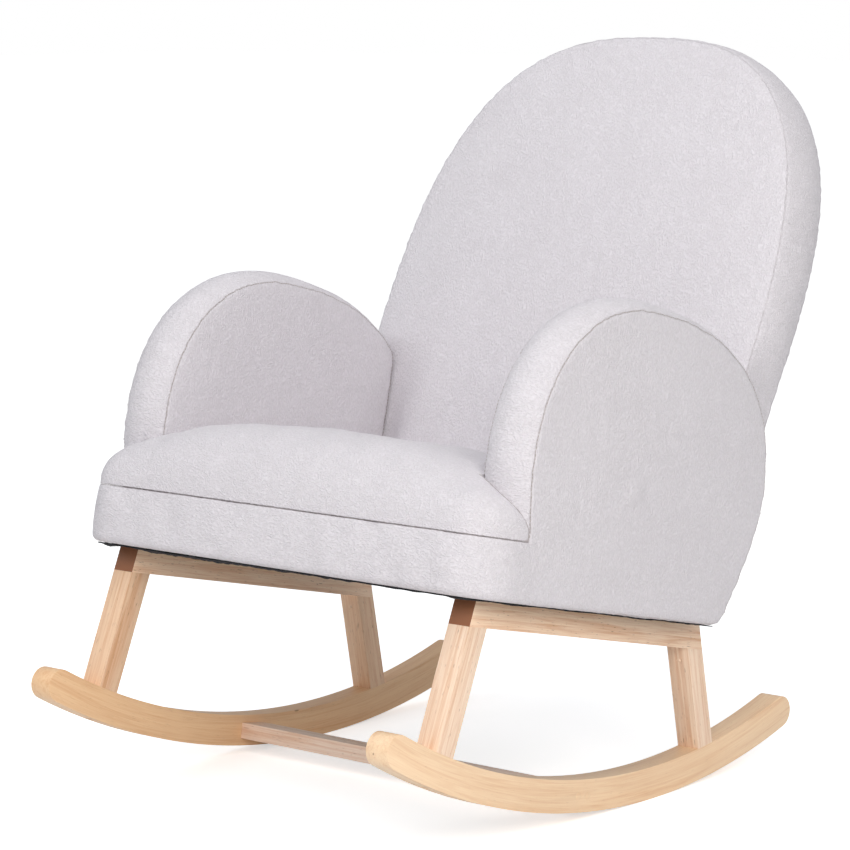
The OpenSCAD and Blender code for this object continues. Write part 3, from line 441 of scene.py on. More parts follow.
def slab_faces(filled):
    """Faces of a slab over a grid's filled cells, each with its row and its kind.

    The lower points follow the upper ones in the same order.
    """
    rows, columns = filled.shape
    n = columns + 1
    q = (rows + 1) * n
    found = []
    for j, i in np.argwhere(filled).tolist():
        a = j * n + i
        found.append(((a, a + 1, a + n + 1, a + n), j, "top"))
        found.append(((q + a, q + a + n, q + a + n + 1, q + a + 1), j, "bottom"))
        for dj, di, v, w in ((-1, 0, a, a + 1), (1, 0, a + n + 1, a + n),
                             (0, -1, a + n, a), (0, 1, a + 1, a + n + 1)):
            beside = 0 <= j + dj < rows and 0 <= i + di < columns and filled[j + dj, i + di]
            if not beside:
                found.append(((v, q + v, q + w, w), j, "rear wall" if dj > 0 else "wall"))
    return found


def seam_distances(rings, seams):
    """Distance across to the nearest seam ring and length along it, for each ring point."""
    steps = np.linalg.norm(np.diff(rings, axis=0), axis=2)
    across = np.concatenate([np.zeros((1, rings.shape[1])), np.cumsum(steps, axis=0)])
    gaps = np.stack([np.abs(across - across[i]) for i in seams])
    nearest = gaps.min(axis=0)
    path = rings[seams[0]]
    step = np.linalg.norm(np.diff(path, axis=0, append=path[:1]), axis=1)
    along = np.concatenate([[0], np.cumsum(step)])
    nearest = np.concatenate([nearest, nearest[:, :1]], axis=1)
    return np.stack([nearest, np.broadcast_to(along, nearest.shape)], axis=-1)


def zones(count, first, last):
    """Materials between rings and poles: 1 for the band between two seams, 0 for the panels."""
    return [0] * (first + 1) + [1] * (last - first) + [0] * (count - last)


def groove(distance, s):
    """Depth of a seam's groove at a distance from it."""
    return s.seam_depth * np.exp(-((distance / (0.5 * s.seam_reach)) ** 2))


# Arms

def arm_edge(s, x):
    """Rise of an arm's rounded band at the place x across it."""
    middle = s.half_width - s.arm_thickness / 2
    return s.arm_bulge * (1 - ((x - middle) / (s.arm_thickness / 2)) ** 2)


def arm_drop(s, z):
    """Share of an arm's inward taper at the height z."""
    shoulder = s.base_z + s.arm_shoulder
    return np.maximum(0, (shoulder - z) / s.arm_shoulder) ** 1.5


def arm_centre(s):
    """Centre of an arm's panels, seen from the side."""
    return np.array([s.arm_peak, s.base_z + 0.88 * s.arm_shoulder])


def arm_arch(s, d, low):
    """Dense edge of an arm from its rear foot over the top to its front foot, moved out by d."""
    dense = 500
    shoulder = s.base_z + s.arm_shoulder
    z = np.linspace(low, shoulder, dense, endpoint=False)
    t = np.linspace(0, math.pi / 2, dense)
    rear = np.stack([s.arm_rear - s.arm_rear_taper * arm_drop(s, z) + d, z], axis=-1)
    c, n = np.cos(t).clip(0), np.sin(t)
    rear_top = np.stack(
        [s.arm_peak + (s.arm_rear - s.arm_peak + d) * c ** (2 / REAR_POWER),
         shoulder + (s.arm_rise + d) * n ** (2 / REAR_POWER)], axis=-1)
    c, n = np.cos(t[1:]).clip(0), np.sin(t[1:])
    front_top = np.stack(
        [s.arm_peak - (s.arm_peak - s.arm_front + d) * n ** (2 / FRONT_POWER),
         shoulder + (s.arm_rise + d) * c ** (2 / FRONT_POWER)], axis=-1)
    z = z[::-1]
    front = np.stack([s.arm_front + s.arm_front_taper * arm_drop(s, z) - d, z], axis=-1)
    return np.concatenate([rear, rear_top, front_top, front])


def arm_rings(s):
    """Rings, poles, zones and seams of the left arm, from its outer panel to its inner one."""
    outer, inner = s.half_width, s.half_width - s.arm_thickness
    centre = arm_centre(s)
    pick = evenly(arm_arch(s, 0, s.base_z), s.grid)

    def outline(d, low, stopped):
        arch = arm_arch(s, d, low)[pick]
        corner = 0.012
        rise = np.clip(arch[:, 1] - low, 0, corner)
        half = len(arch) // 2
        tuck = corner - np.sqrt(np.maximum(0, corner ** 2 - (corner - rise) ** 2))
        arch[:half, 0] -= tuck[:half]
        if stopped:
            arch[:, 0] = smooth_min(arch[:, 0], arm_stop(s, arch[:, 1]), 0.012)
        t = np.linspace(0, 1, ARM_FOOT + 2)[1:-1, None]
        bottom = arch[-1] + t * (arch[0] - arch[-1])
        return np.concatenate([arch, bottom])

    def full(x, d, low, stopped):
        line = outline(d, low, stopped)
        return np.concatenate([np.full((len(line), 1), x), line], axis=1)

    def panel(x, sign, scales, low, stopped):
        line = outline(0, low, stopped)
        found = []
        for k in scales:
            ring = centre + k * (line - centre)
            near = (1 - k) * 0.2
            swell = s.arm_swell * (1 - k ** 3) + s.arm_rim * (1 - math.exp(-near / 0.006))
            found.append(np.concatenate(
                [np.full((len(ring), 1), x + sign * swell), ring], axis=1))
        return found

    scales = [0.06, 0.14, 0.22, 0.30, 0.38, 0.46, 0.54, 0.61, 0.68, 0.74, 0.79, 0.835,
              0.87, 0.90, 0.925, 0.945, 0.96, 0.972, 0.982, 0.99, 0.996]
    across = [0.0, 0.012, 0.028, 0.05, 0.08, 0.12, 0.17, 0.23, 0.29, 0.35]
    split = (outer - s.arm_split) / s.arm_thickness
    notch = (outer - s.inner_board_x) / s.arm_thickness
    outer_shares = [a for a in across if a < split - 0.01] + [split - 0.0005]
    middle_shares = [split + 0.0005] + [0.42, 0.48, 0.54, 0.60, 0.66] + [notch - 0.0005]
    inner_shares = [notch + 0.0005] + [0.76, 0.80, 0.84, 0.88, 0.92, 0.95, 0.972, 0.988, 1.0]
    rings = panel(outer, 1, scales, s.base_z, False)
    seam_outer = len(rings)
    low = s.frame_top + 0.0005
    for shares, foot, stopped in ((outer_shares, s.base_z, False),
                                  (middle_shares, s.base_z, True), (inner_shares, low, True)):
        for share in shares:
            x = outer - share * s.arm_thickness
            rings.append(full(x, arm_edge(s, x), foot, stopped))
    seam_inner = len(rings) - 1
    rings += panel(inner, -1, scales[::-1], low, True)
    rings = np.array(rings)
    proud = s.arm_swell + s.arm_rim
    poles = [(outer + proud, *centre), (inner - proud, *centre)]
    return rings, poles, zones(len(rings), seam_outer, seam_inner), (seam_outer, seam_inner)


def pressed(rings, poles, s, seams, centre, seed, plain=None):
    """Press the seams' grooves in and let the cloth beside them pucker a little.

    plain is 1 where a seam is tucked away and leaves no line, and 0 elsewhere.
    """
    uv = seam_distances(rings, seams).copy()
    if plain is not None:
        uv[:, :-1, 0] += TUCKED * plain
        uv[:, -1, 0] = uv[:, 0, 0]
    distance, along = uv[:, :-1, 0], uv[:, :-1, 1]
    inward = np.asarray(centre) - rings
    inward /= np.linalg.norm(inward, axis=2, keepdims=True)
    fade = np.exp(-distance / s.pucker_reach)
    pucker = s.pucker * fade * waves(seed, 14, 0.009, 0.030, along, 0.4 * distance)
    slack = s.slack * waves(seed + 1, 10, 0.07, 0.22, rings[..., 1] + rings[..., 0], rings[..., 2])
    depth = groove(distance, s) + pucker + slack * (1 - fade)
    moved = inward * depth[..., None]
    for i, share in ((0, 1.0), (1, 0.6), (2, 0.25), (-3, 0.25), (-2, 0.6), (-1, 1.0)):
        moved[i] += share * (moved[i].mean(axis=0) - moved[i])
    return rings + moved, uv, np.asarray(poles) + moved[[0, -1]].mean(axis=1)


# Back

def back_rings(s):
    """Rings, poles, zones and seams of the back, from its front panel to its rear one."""
    start = s.back_length - s.back_arch
    centre = np.array([0.0, 0.52 * s.back_length])
    over = s.seam_z + MEET - s.back_base + 0.034 * math.sin(s.back_lean)
    front_low = over / math.cos(s.back_lean)
    rear_low = 0.0189
    dense = 500

    def free(v):
        return np.clip((v - s.back_free_v) / 0.060, 0, 1)

    def depth_at(v):
        return s.back_depth_low + (s.back_depth_high - s.back_depth_low) * v / s.back_length

    def arch(d, low):
        v = np.linspace(low, start, dense, endpoint=False)
        t = np.linspace(0, math.pi, 16 * dense)
        rise = start + (s.back_arch + d) * np.sin(t).clip(0) ** (2 / s.back_power)
        c = np.cos(t)
        side = np.stack([s.back_half + d * free(v), v], axis=-1)
        reach = (s.back_half + d * free(rise)) * np.abs(c) ** (2 / s.back_power)
        top = np.stack([np.sign(c) * reach, rise], axis=-1)
        other = side[::-1] * np.array([-1, 1])
        return np.concatenate([side, top, other])

    pick = evenly(arch(0, front_low), s.grid * 1.1)

    def closed(line):
        t = np.linspace(0, 1, BACK_FOOT + 2)[1:-1, None]
        return np.concatenate([line, line[-1] + t * (line[0] - line[-1])])

    def placed(ring, w):
        x, v = ring[:, 0], ring[:, 1]
        press = back_press(s, x, s.back_base + v * math.cos(s.back_lean))
        left = 1 - press / depth_at(v)
        return in_back(s, x, press + np.where(w > 0, w * left, w), v)

    scales = [0.04, 0.10, 0.17, 0.24, 0.31, 0.38, 0.45, 0.52, 0.58, 0.64, 0.70, 0.75, 0.80,
              0.84, 0.875, 0.905, 0.93, 0.95, 0.965, 0.977, 0.986, 0.992, 0.997]
    shares = [0.0, 0.012, 0.028, 0.05, 0.09, 0.14, 0.20, 0.27, 0.34, 0.42, 0.50, 0.58, 0.62]
    rear_shares = [0.66, 0.73, 0.80, 0.86, 0.91, 0.95, 0.972, 0.988, 1.0]
    line = closed(arch(0, front_low)[pick])
    rings = []
    for k in scales:
        ring = centre + k * (line - centre)
        near = (1 - k) * 0.3
        swell = s.back_crown * (1 - k ** 3) + s.back_rim * (1 - math.exp(-near / 0.008))
        rings.append(placed(ring, np.full(len(ring), -swell)))
    seam_front = len(rings)
    for k in shares + rear_shares:
        low = front_low if k <= shares[-1] else rear_low
        lift = s.back_bulge * (1 - (2 * k - 1) ** 2)
        ring = closed(arch(lift, low)[pick])
        rings.append(placed(ring, k * depth_at(ring[:, 1])))
    seam_rear = len(rings) - 1
    line = closed(arch(0, rear_low)[pick])
    for k in scales[::-1]:
        ring = centre + k * (line - centre)
        swell = s.back_rear_swell * (1 - k ** 3)
        rings.append(in_back(s, ring[:, 0], depth_at(ring[:, 1]) + swell, ring[:, 1]))
    rings = np.array(rings)
    middle, height = centre[:1], centre[1:]
    poles = [
        in_back(s, middle, np.array([-s.back_crown - s.back_rim]), height)[0],
        in_back(s, middle, depth_at(height) + s.back_rear_swell, height)[0],
    ]
    return rings, poles, zones(len(rings), seam_front, seam_rear), (seam_front, seam_rear)


# Seat

def seat_plan(s, inset, step):
    """Front edge of the seat in plan from the right side seam round to the left one."""
    r = s.seat_corner - inset
    half = s.half_width - inset
    front = -s.seat_front + inset
    turn = np.linspace(0, math.pi / 2, 14)
    cx, cy = half - r, front + r
    corner = np.stack([cx + r * np.sin(turn), cy - r * np.cos(turn)], axis=-1)
    across = np.linspace(-cx, cx, int(2 * cx / step) + 1)
    straight = np.stack([across, np.full_like(across, front)], axis=-1)
    left = corner[1:]
    right = (corner * np.array([-1, 1]))[::-1][:-1]
    return np.concatenate([right, straight, left])


def seat_band_mesh(s, materials):
    """Padded band round the front of the seat, from one side seam to the other."""
    step = 0.0040
    top = s.seam_z - s.base_z
    heights = np.array([
        0.0, 0.0003, 0.001, 0.0022, 0.004, 0.0065, 0.0095, 0.014, 0.021, 0.030, 0.039,
        0.048, 0.056, 0.062, 0.0665, 0.0695, 0.0715, 0.0728, 0.0736, 0.0739])

    def inset_at(h):
        """Distance of the band's face behind the plan's edge."""
        foot = s.foot_round - math.sqrt(max(0, s.foot_round ** 2 - max(0, s.foot_round - h) ** 2))
        tuck = 0.0012 * math.exp(-(top - h) / 0.0016)
        return foot + tuck - s.band_swell * math.sin(math.pi * h / top)

    rings, across = [], []
    for outer, order in ((True, heights), (False, heights[::-1])):
        for h in order:
            z = s.base_z + h
            inset = inset_at(h) if outer else s.band_wall
            line = seat_plan(s, inset, step)
            x_end = s.half_width - inset
            x_edge = min(x_end, s.half_width)
            y_end = (s.arm_front + s.arm_front_taper * float(arm_drop(s, z))
                     - float(arm_edge(s, x_edge)) - MEET)
            tail = np.linspace(line[-1][1], y_end, 9)[1:]
            left = np.stack([np.full_like(tail, x_end), tail], axis=-1)
            right = (left * np.array([-1, 1]))[::-1]
            line = np.concatenate([right, line, left])
            rings.append(np.concatenate([line, np.full((len(line), 1), z)], axis=1))
            across.append(top - h if outer else FAR)
    rings = np.array(rings)
    count, along = rings.shape[:2]
    run = rings[count // 4, :, 0] + rings[count // 4, :, 1]
    seed, above = SEEDS["band"], np.array(across)[:, None]
    soft = s.pucker * waves(seed, 12, 0.035, 0.14, run[None, :], rings[..., 2])
    near_seam = 0.0005 * np.exp(-above / 0.012)
    soft = soft + near_seam * waves(seed + 1, 12, 0.009, 0.026, run[None, :], rings[..., 2])
    ends = smooth_step(s.half_width - np.abs(rings[..., 0]), 0.004, 0.05)
    rings[..., 1] -= np.where(above < FAR, soft, 0) * ends
    vertices = resting(s, rings).reshape(-1, 3)
    faces, corners = [], []
    for i in range(count):
        k = (i + 1) % count
        for j in range(along - 1):
            a, b = i * along + j, k * along + j
            faces.append((a, b, b + 1, a + 1))
            corners.append((
                (across[i], j * step), (across[k], j * step),
                (across[k], (j + 1) * step), (across[i], (j + 1) * step)))
    half = count // 2
    for j in (0, along - 1):
        for i in range(half - 1):
            c, d = count - 2 - i, count - 1 - i
            faces.append((i * along + j, (i + 1) * along + j, c * along + j, d * along + j))
            corners.append(((FAR, 0),) * 4)
    mesh = shell("seat_band", vertices, faces, materials)
    lay_seam_uv(mesh, corners)
    mesh.set_sharp_from_angle(angle=SOFT_ANGLE)
    return mesh


def cushion_rise(s, x, y):
    """Height of the cushion over its edge at a place of the level chair, from 0 to 1."""
    r = s.seat_corner
    cx, cy = s.half_width - r, r - s.seat_front

    def side(a):
        return np.maximum(0, 1 - (np.abs(a) / s.half_width) ** 2.3) ** 0.46

    def front(b):
        g = np.clip((b + s.seat_front) / s.cushion_round, 0, 1)
        return np.maximum(0, 1 - (1 - g) ** 2.4) ** (1 / 2.4)

    a, b = np.maximum(0, np.abs(x) - cx), np.maximum(0, cy - y)
    reach = np.hypot(a, b)
    turned = (a / np.maximum(reach, 1e-9)) ** 2
    corner = turned * side(cx + reach) * front(cy) + (1 - turned) * side(cx) * front(cy - reach)
    rear = 1 - 0.07 * np.maximum(0, 2 * y / s.back_foot - 1) ** 2
    return np.where((a > 0) & (b > 0), corner, side(x) * front(y)) * rear


def cushion_top(s, x, y):
    """Height of the cushion's top at a place of the level chair."""
    base = s.seam_z + MEET + s.cushion_edge
    rise = cushion_rise(s, x, y)
    edge = np.exp(-rise / 0.22)
    seed = SEEDS["cushion"]
    soft = 0.0012 * waves(seed, 12, 0.07, 0.24, x, y)
    soft = soft + 0.0006 * waves(seed + 1, 12, 0.03, 0.07, x, y)
    pulls = 0.0010 * edge * waves(seed + 2, 16, 0.011, 0.034, x, 0.5 * y)
    notch = np.hypot(np.abs(x) - NOTCH[0], y - NOTCH[1])
    folds = 0.0007 * np.exp(-(notch / 0.050) ** 2) * waves(seed + 3, 10, 0.014, 0.028, 0.5 * x, y)
    swell = np.minimum(1, 6 * rise)
    return base + (s.cushion_crown - s.cushion_edge) * rise + swell * (soft + pulls + folds)


def cushion_plan(s, rows, inner, outer):
    """Places across the cushion for each row: the tongue's columns, then each ear's."""
    tongue = s.half_width - s.arm_thickness - s.arm_swell - s.tongue_gap
    k = np.clip(rows + s.seat_front, 0, s.seat_corner)
    wide = s.half_width - s.seat_corner + np.sqrt(
        np.maximum(0, s.seat_corner ** 2 - (s.seat_corner - k) ** 2))
    middle = tongue * np.linspace(-1, 1, inner + 1)
    share = 1 - (1 - np.linspace(0, 1, outer + 1)[1:]) ** 1.9
    ear = tongue + (wide[:, None] - tongue) * share[None, :]
    return tongue, np.concatenate(
        [-ear[:, ::-1], np.repeat(middle[None, :], len(rows), axis=0), ear], axis=1)


def ear_end(s, x, z):
    """Distance behind the rails' front end at which an arm stops the cushion's ear."""
    middle = s.half_width - s.arm_thickness / 2
    across = np.clip((np.abs(x) - middle) / (s.arm_thickness / 2), -1, 1)
    front = s.arm_front + s.arm_front_taper * arm_drop(s, z)
    return front - s.arm_bulge * (1 - across ** 2) - s.ear_gap


def cushion_mesh(s, materials):
    """Crowned T-shaped cushion as a closed grid, its ears set against the arms."""
    ear_y = s.ear_rear
    reach = ear_y + s.seat_front
    rows = np.concatenate([
        -s.seat_front + 0.88 * reach * np.linspace(0, 1, 26) ** 2.1,
        ear_y - np.array([0.0050, 0.0034, 0.0022, 0.0013, 0.0006, 0.0]),
        np.linspace(ear_y + 0.0025, s.back_foot, 86),
    ])
    inner, outer = 140, 40
    tongue, x = cushion_plan(s, rows, inner, outer)
    y = np.repeat(rows[:, None], x.shape[1], axis=1)
    pull = smooth_step(np.abs(x), 0.200, tongue) * np.where(
        y <= ear_y, ((y + s.seat_front) / reach) ** 3, 1 - smooth_step(y, ear_y, ear_y + 0.085))
    gap = s.cushion_gap / math.cos(s.back_lean)
    behind = np.maximum(0, y / s.back_foot)

    def leaned(z):
        shifted = y + pull * (ear_end(s, x, z) - ear_y)
        return shifted + behind * (back_face(s, z) - gap - s.back_foot)

    z = cushion_top(s, x, y)
    for _ in range(3):
        z = cushion_top(s, x, y + pull * (ear_end(s, x, z) - ear_y))
    side = np.clip((np.abs(x) - tongue + s.tongue_round) / s.tongue_round, 0, 1)
    z -= s.tongue_drop * (1 - np.sqrt(1 - 0.98 * side ** 2)) * smooth_step(y, ear_y + 0.004, 0.085)
    filled_out = smooth_step(y, ear_y, ear_y + 0.006) * (1 - smooth_step(y, 0.045, 0.130))
    x = x * (1 + 0.0170 * filled_out * (np.minimum(np.abs(x), tongue) / tongue) ** 16)
    top = np.stack([x, leaned(z), z], axis=-1)
    base = np.full_like(x, s.seam_z + MEET)
    tucked = 0.0006
    bottom = np.stack([x * (1 - tucked / s.half_width), leaned(base), base], axis=-1)
    bottom[0, :, 1] += tucked
    vertices = resting(s, np.concatenate([top.reshape(-1, 3), bottom.reshape(-1, 3)]))
    ear = np.where(
        (np.abs(x) > tongue - 0.0005) & (y < ear_y + 0.001), ear_end(s, x, z) - top[..., 1], FAR)
    across = np.minimum(z - s.seam_z, np.maximum(ear, 0))
    across[y > ear_y + 0.001] = FAR
    flat, run = across.ravel(), (x + y).ravel()
    behind_ear = rows[:-1] > ear_y - 0.0001
    filled = np.ones((x.shape[0] - 1, x.shape[1] - 1), bool)
    filled[behind_ear, :outer] = False
    filled[behind_ear, -outer:] = False
    faces, corners = [], []
    for face, j, kind in slab_faces(filled):
        faces.append(face)
        if kind == "top" or (kind == "wall" and not behind_ear[j]):
            corners.append([
                (flat[v], run[v]) if v < x.size else (0.0, run[v - x.size]) for v in face])
        else:
            corners.append([(FAR, 0.0)] * 4)
    mesh = shell("seat_cushion_cover", vertices, faces, materials)
    lay_seam_uv(mesh, corners)
    mesh.set_sharp_from_angle(angle=SOFT_ANGLE)
    return mesh


def cover_mesh(s, materials):
    """Thin black cloth under the upholstery, taut over the rails and slack beside them.

    Returns the mesh and the flat area of its cut.
    """
    inset, seed = s.cover_inset, SEEDS["cover"]
    corner = s.seat_corner - inset
    front = inset - s.seat_front
    rows = np.concatenate([
        front + corner * np.linspace(0, 1, 12) ** 1.6,
        np.linspace(front + corner, s.cover_rear, 96)[1:]])
    k = np.clip(rows - front, 0, corner)
    wide = s.half_width - inset - corner + np.sqrt(np.maximum(0, corner ** 2 - (corner - k) ** 2))
    x = wide[:, None] * np.linspace(-1, 1, 141)[None, :]
    y = np.repeat(rows[:, None], x.shape[1], axis=1)
    beside = smooth_step(np.abs(np.abs(x) - s.rail_half), 0.018, 0.040)
    on_rail = (1 - beside) * smooth_step(y, -0.012, 0.003)
    slack = s.cover_sag * (0.55 + 0.45 * smooth_step(-x, -0.1, 0.30))
    slack *= 1 + 0.35 * waves(seed, 10, 0.05, 0.20, x, y)
    slack *= 1 + 0.25 * waves(seed + 1, 10, 0.012, 0.035, x, y)
    edge = np.minimum.reduce([wide[:, None] - np.abs(x), y - front, s.cover_rear - y])
    held = 0.30 + 0.70 * smooth_step(edge, 0.0, 0.024)
    drop = np.maximum(0.0002, slack) * (1 - on_rail) * held
    high = s.base_z - 0.0001 - np.maximum(0, drop - 0.0001)
    upper, lower = np.stack([x, y, high], axis=-1), np.stack([x, y, high - s.cover_thick], axis=-1)
    vertices = resting(s, np.concatenate([upper.reshape(-1, 3), lower.reshape(-1, 3)]))
    cells = np.ones((x.shape[0] - 1, x.shape[1] - 1), bool)
    faces = [face for face, _, _ in slab_faces(cells)]
    mesh = shell("dust_cover_cloth", vertices, faces, materials)
    outwards(mesh)
    return mesh, float(np.sum(np.diff(rows) * (wide[1:] + wide[:-1])))


# Geometry nodes

def scatter_tree(name, values):
    """Tree with inputs for a piece to copy and its material. Returns what new_tree does."""
    return new_tree(name, "GeometryNodeTree", [
        ("Geometry", "NodeSocketGeometry", None),
        ("Piece", "NodeSocketObject", None),
        ("Material", "NodeSocketMaterial", None),
        *values,
    ], [("Geometry", "NodeSocketGeometry")])


def scattered(graph, source, result, points, turn, size=(1.0, 1.0, 1.0)):
    """End a tree: copies of the piece on the points become real and get their material."""
    info = graph.add("GeometryNodeObjectInfo", {"Object": source.outputs["Piece"]})
    placed = graph.add("GeometryNodeInstanceOnPoints", {
        "Points": points.outputs[0], "Instance": info.outputs["Geometry"],
        "Rotation": turn.outputs[0], "Scale": size})
    real = graph.add("GeometryNodeRealizeInstances", {"Geometry": placed.outputs[0]})
    done = graph.add("GeometryNodeSetMaterial", {
        "Geometry": real.outputs[0], "Material": source.outputs["Material"]})
    graph.feed(result, {0: done.outputs[0]})


def stitch_tree():
    """Pieces along the edges of a path, each turned to the path's direction."""
    graph, source, result, names = scatter_tree("Stitches", [
        ("Step", "NodeSocketFloat", None),
        ("Variation", "NodeSocketFloat", STITCH_SPREAD),
        ("Seed", "NodeSocketInt", SEEDS["stitches"]),
    ])
    curve = graph.add("GeometryNodeMeshToCurve", {"Mesh": source.outputs[0]})
    spaced = graph.add("GeometryNodeResampleCurve", {
        "Curve": curve.outputs[0], "Length": source.outputs["Step"]}, mode="LENGTH")
    tangent = graph.add("GeometryNodeInputTangent")
    turn = graph.add("FunctionNodeAlignRotationToVector", {"Vector": tangent.outputs[0]}, axis="X")
    size = graph.add("FunctionNodeRandomValue", {
        "Min": graph.math("SUBTRACT", 1.0, source.outputs["Variation"]), "Max": 1.0,
        "Seed": source.outputs["Seed"]}, data_type="FLOAT")
    scattered(graph, source, result, spaced, turn, size.outputs[1])
    return graph.tree, names


def plug_tree():
    """Pieces on points, each turned a little round its own axis."""
    graph, source, result, names = scatter_tree("Plugs", [
        ("Turn", "NodeSocketFloat", PLUG_TURN),
        ("Seed", "NodeSocketInt", SEEDS["plugs"]),
    ])
    points = graph.add("GeometryNodeMeshToPoints", {"Mesh": source.outputs[0]})
    angle = graph.add("FunctionNodeRandomValue", {
        "Min": graph.times(source.outputs["Turn"], -1.0), "Max": source.outputs["Turn"],
        "Seed": source.outputs["Seed"]}, data_type="FLOAT")
    turn = graph.add("ShaderNodeCombineXYZ", {0: angle.outputs[1]})
    scattered(graph, source, result, points, turn)
    return graph.tree, names


def grown(name, base, part, tree, names, values):
    """Plain mesh that a tree makes on a base mesh with copies of a part."""
    bed = bpy.data.objects.new(f"{name}_bed", base)
    seed = bpy.data.objects.new(f"{name}_part", part)
    for item in (bed, seed):
        bpy.context.scene.collection.objects.link(item)
    modifier = bed.modifiers.new(name, "NODES")
    modifier.node_group = tree
    for label, value in {"Piece": seed, **values}.items():
        modifier[names[label]] = value
    bpy.context.view_layer.update()
    graph = bpy.context.evaluated_depsgraph_get()
    mesh = bpy.data.meshes.new_from_object(bed.evaluated_get(graph), depsgraph=graph)
    mesh.name = name
    bed.modifiers.remove(modifier)
    for item, data in ((bed, base), (seed, part)):
        bpy.data.objects.remove(item)
        bpy.data.meshes.remove(data)
    return mesh


def circle(lift, radius, count):
    """Points of a circle across X at the place lift along it."""
    return [(lift, radius * math.cos(a), radius * math.sin(a))
            for a in np.linspace(0, 2 * math.pi, count, endpoint=False)]


def stitch_mesh(look):
    """One stitch along X: a short thread, thick in the middle and sunk at both ends."""
    rings = []
    for t, share in ((-0.5, 0.45), (-0.32, 1.0), (0.0, 1.0), (0.32, 1.0), (0.5, 0.45)):
        sunk = -0.9 * look.thread_radius * (2 * t) ** 2
        rings.append([(x, y, z + sunk) for x, y, z in circle(
            t * look.stitch, share * look.thread_radius, THREAD_SIDES)])
    return tube_mesh("stitch", rings)


def plug_mesh(s):
    """One wooden plug across X, with a rounded face that stands just proud of the rocker."""
    profile = ((1.0, -0.0020), (1.0, -0.0001), (0.93, 0.00008), (0.6, 0.00012), (0.25, 0.00013))
    return tube_mesh("plug", [
        circle(lift, r * s.plug_radius, PLUG_SIDES) for r, lift in profile])


# Shader nodes

class Graph:
    """Adds nodes to a node tree and links them."""

    def __init__(self, tree):
        self.tree = tree

    def feed(self, node, values):
        """Link the sockets among the values to a node's inputs, and set its other inputs."""
        for key, value in values.items():
            if isinstance(value, bpy.types.NodeSocket):
                self.tree.links.new(value, node.inputs[key])
            else:
                node.inputs[key].default_value = value
        return node

    def add(self, kind, values=None, **settings):
        """Add a node with its settings and inputs."""
        node = self.tree.nodes.new(kind)
        for key, value in settings.items():
            setattr(node, key, value)
        return self.feed(node, values or {})

    def math(self, operation, a, b=0.0, clamp=False):
        """Result of a sum on numbers."""
        node = self.add("ShaderNodeMath", {0: a, 1: b}, operation=operation, use_clamp=clamp)
        return node.outputs[0]

    def times(self, a, b):
        """Product of two numbers."""
        return self.math("MULTIPLY", a, b)

    def vector(self, operation, a, b):
        """Result of a sum on vectors."""
        return self.add("ShaderNodeVectorMath", {0: a, 1: b}, operation=operation).outputs[0]

    def noise(self, vector, scale, detail=2.0, roughness=0.5, distortion=0.0):
        """Smooth noise from 0 to 1."""
        node = self.add("ShaderNodeTexNoise", {
            "Vector": vector, "Scale": scale, "Detail": detail, "Roughness": roughness,
            "Distortion": distortion,
        })
        return node.outputs["Fac"]

    def ramp(self, value, low, high):
        """Smooth rise from 0 at low to 1 at high."""
        node = self.add("ShaderNodeMapRange", {
            "Value": value, "From Min": low, "From Max": high}, interpolation_type="SMOOTHSTEP")
        return node.outputs["Result"]

    def mix(self, share, a, b, blend="MIX"):
        """Mix of two colours."""
        node = self.add(
            "ShaderNodeMix", {0: share, 6: a, 7: b}, data_type="RGBA", blend_type=blend)
        return node.outputs[2]

    def bump(self, strength, distance, height):
        """Normal of a surface with a relief."""
        node = self.add("ShaderNodeBump", {
            "Strength": strength, "Distance": distance, "Height": height})
        return node.outputs[0]


def new_tree(name, kind, inputs, outputs):
    """Node tree with its sockets. Returns its graph, input, output and input identifiers."""
    tree = bpy.data.node_groups.new(name, kind)
    names = {}
    for label, socket_type, default in inputs:
        socket = tree.interface.new_socket(name=label, in_out="INPUT", socket_type=socket_type)
        if default is not None:
            socket.default_value = default
        names[label] = socket.identifier
    for label, socket_type in outputs:
        tree.interface.new_socket(name=label, in_out="OUTPUT", socket_type=socket_type)
    return Graph(tree), tree.nodes.new("NodeGroupInput"), tree.nodes.new("NodeGroupOutput"), names


def new_material(name):
    """Material with a plain Principled shader. Returns it, its graph and its shader."""
    material = bpy.data.materials.new(name)
    material.use_nodes = True
    tree = material.node_tree
    return material, Graph(tree), tree.nodes["Principled BSDF"]


def rgba(value):
    """Colour with full alpha."""
    return (*value, 1.0)


def tinted(tone, tint):
    """Product of two colours."""
    return tuple(a * b for a, b in zip(tone, tint))


def level_frame(graph, s):
    """Object coordinates, turned back into the frame with level rails."""
    c, n = math.cos(s.rest_tilt), math.sin(s.rest_tilt)
    place = (0.0, -(s.rocker_y * c + s.rocker_z * n),
             s.rocker_radius - (s.rocker_z * c - s.rocker_y * n))
    source = graph.add("ShaderNodeTexCoord").outputs["Object"]
    node = graph.add("ShaderNodeMapping", {
        "Vector": source, "Location": place, "Rotation": (-s.rest_tilt, 0.0, 0.0)},
        vector_type="TEXTURE")
    return node.outputs[0]


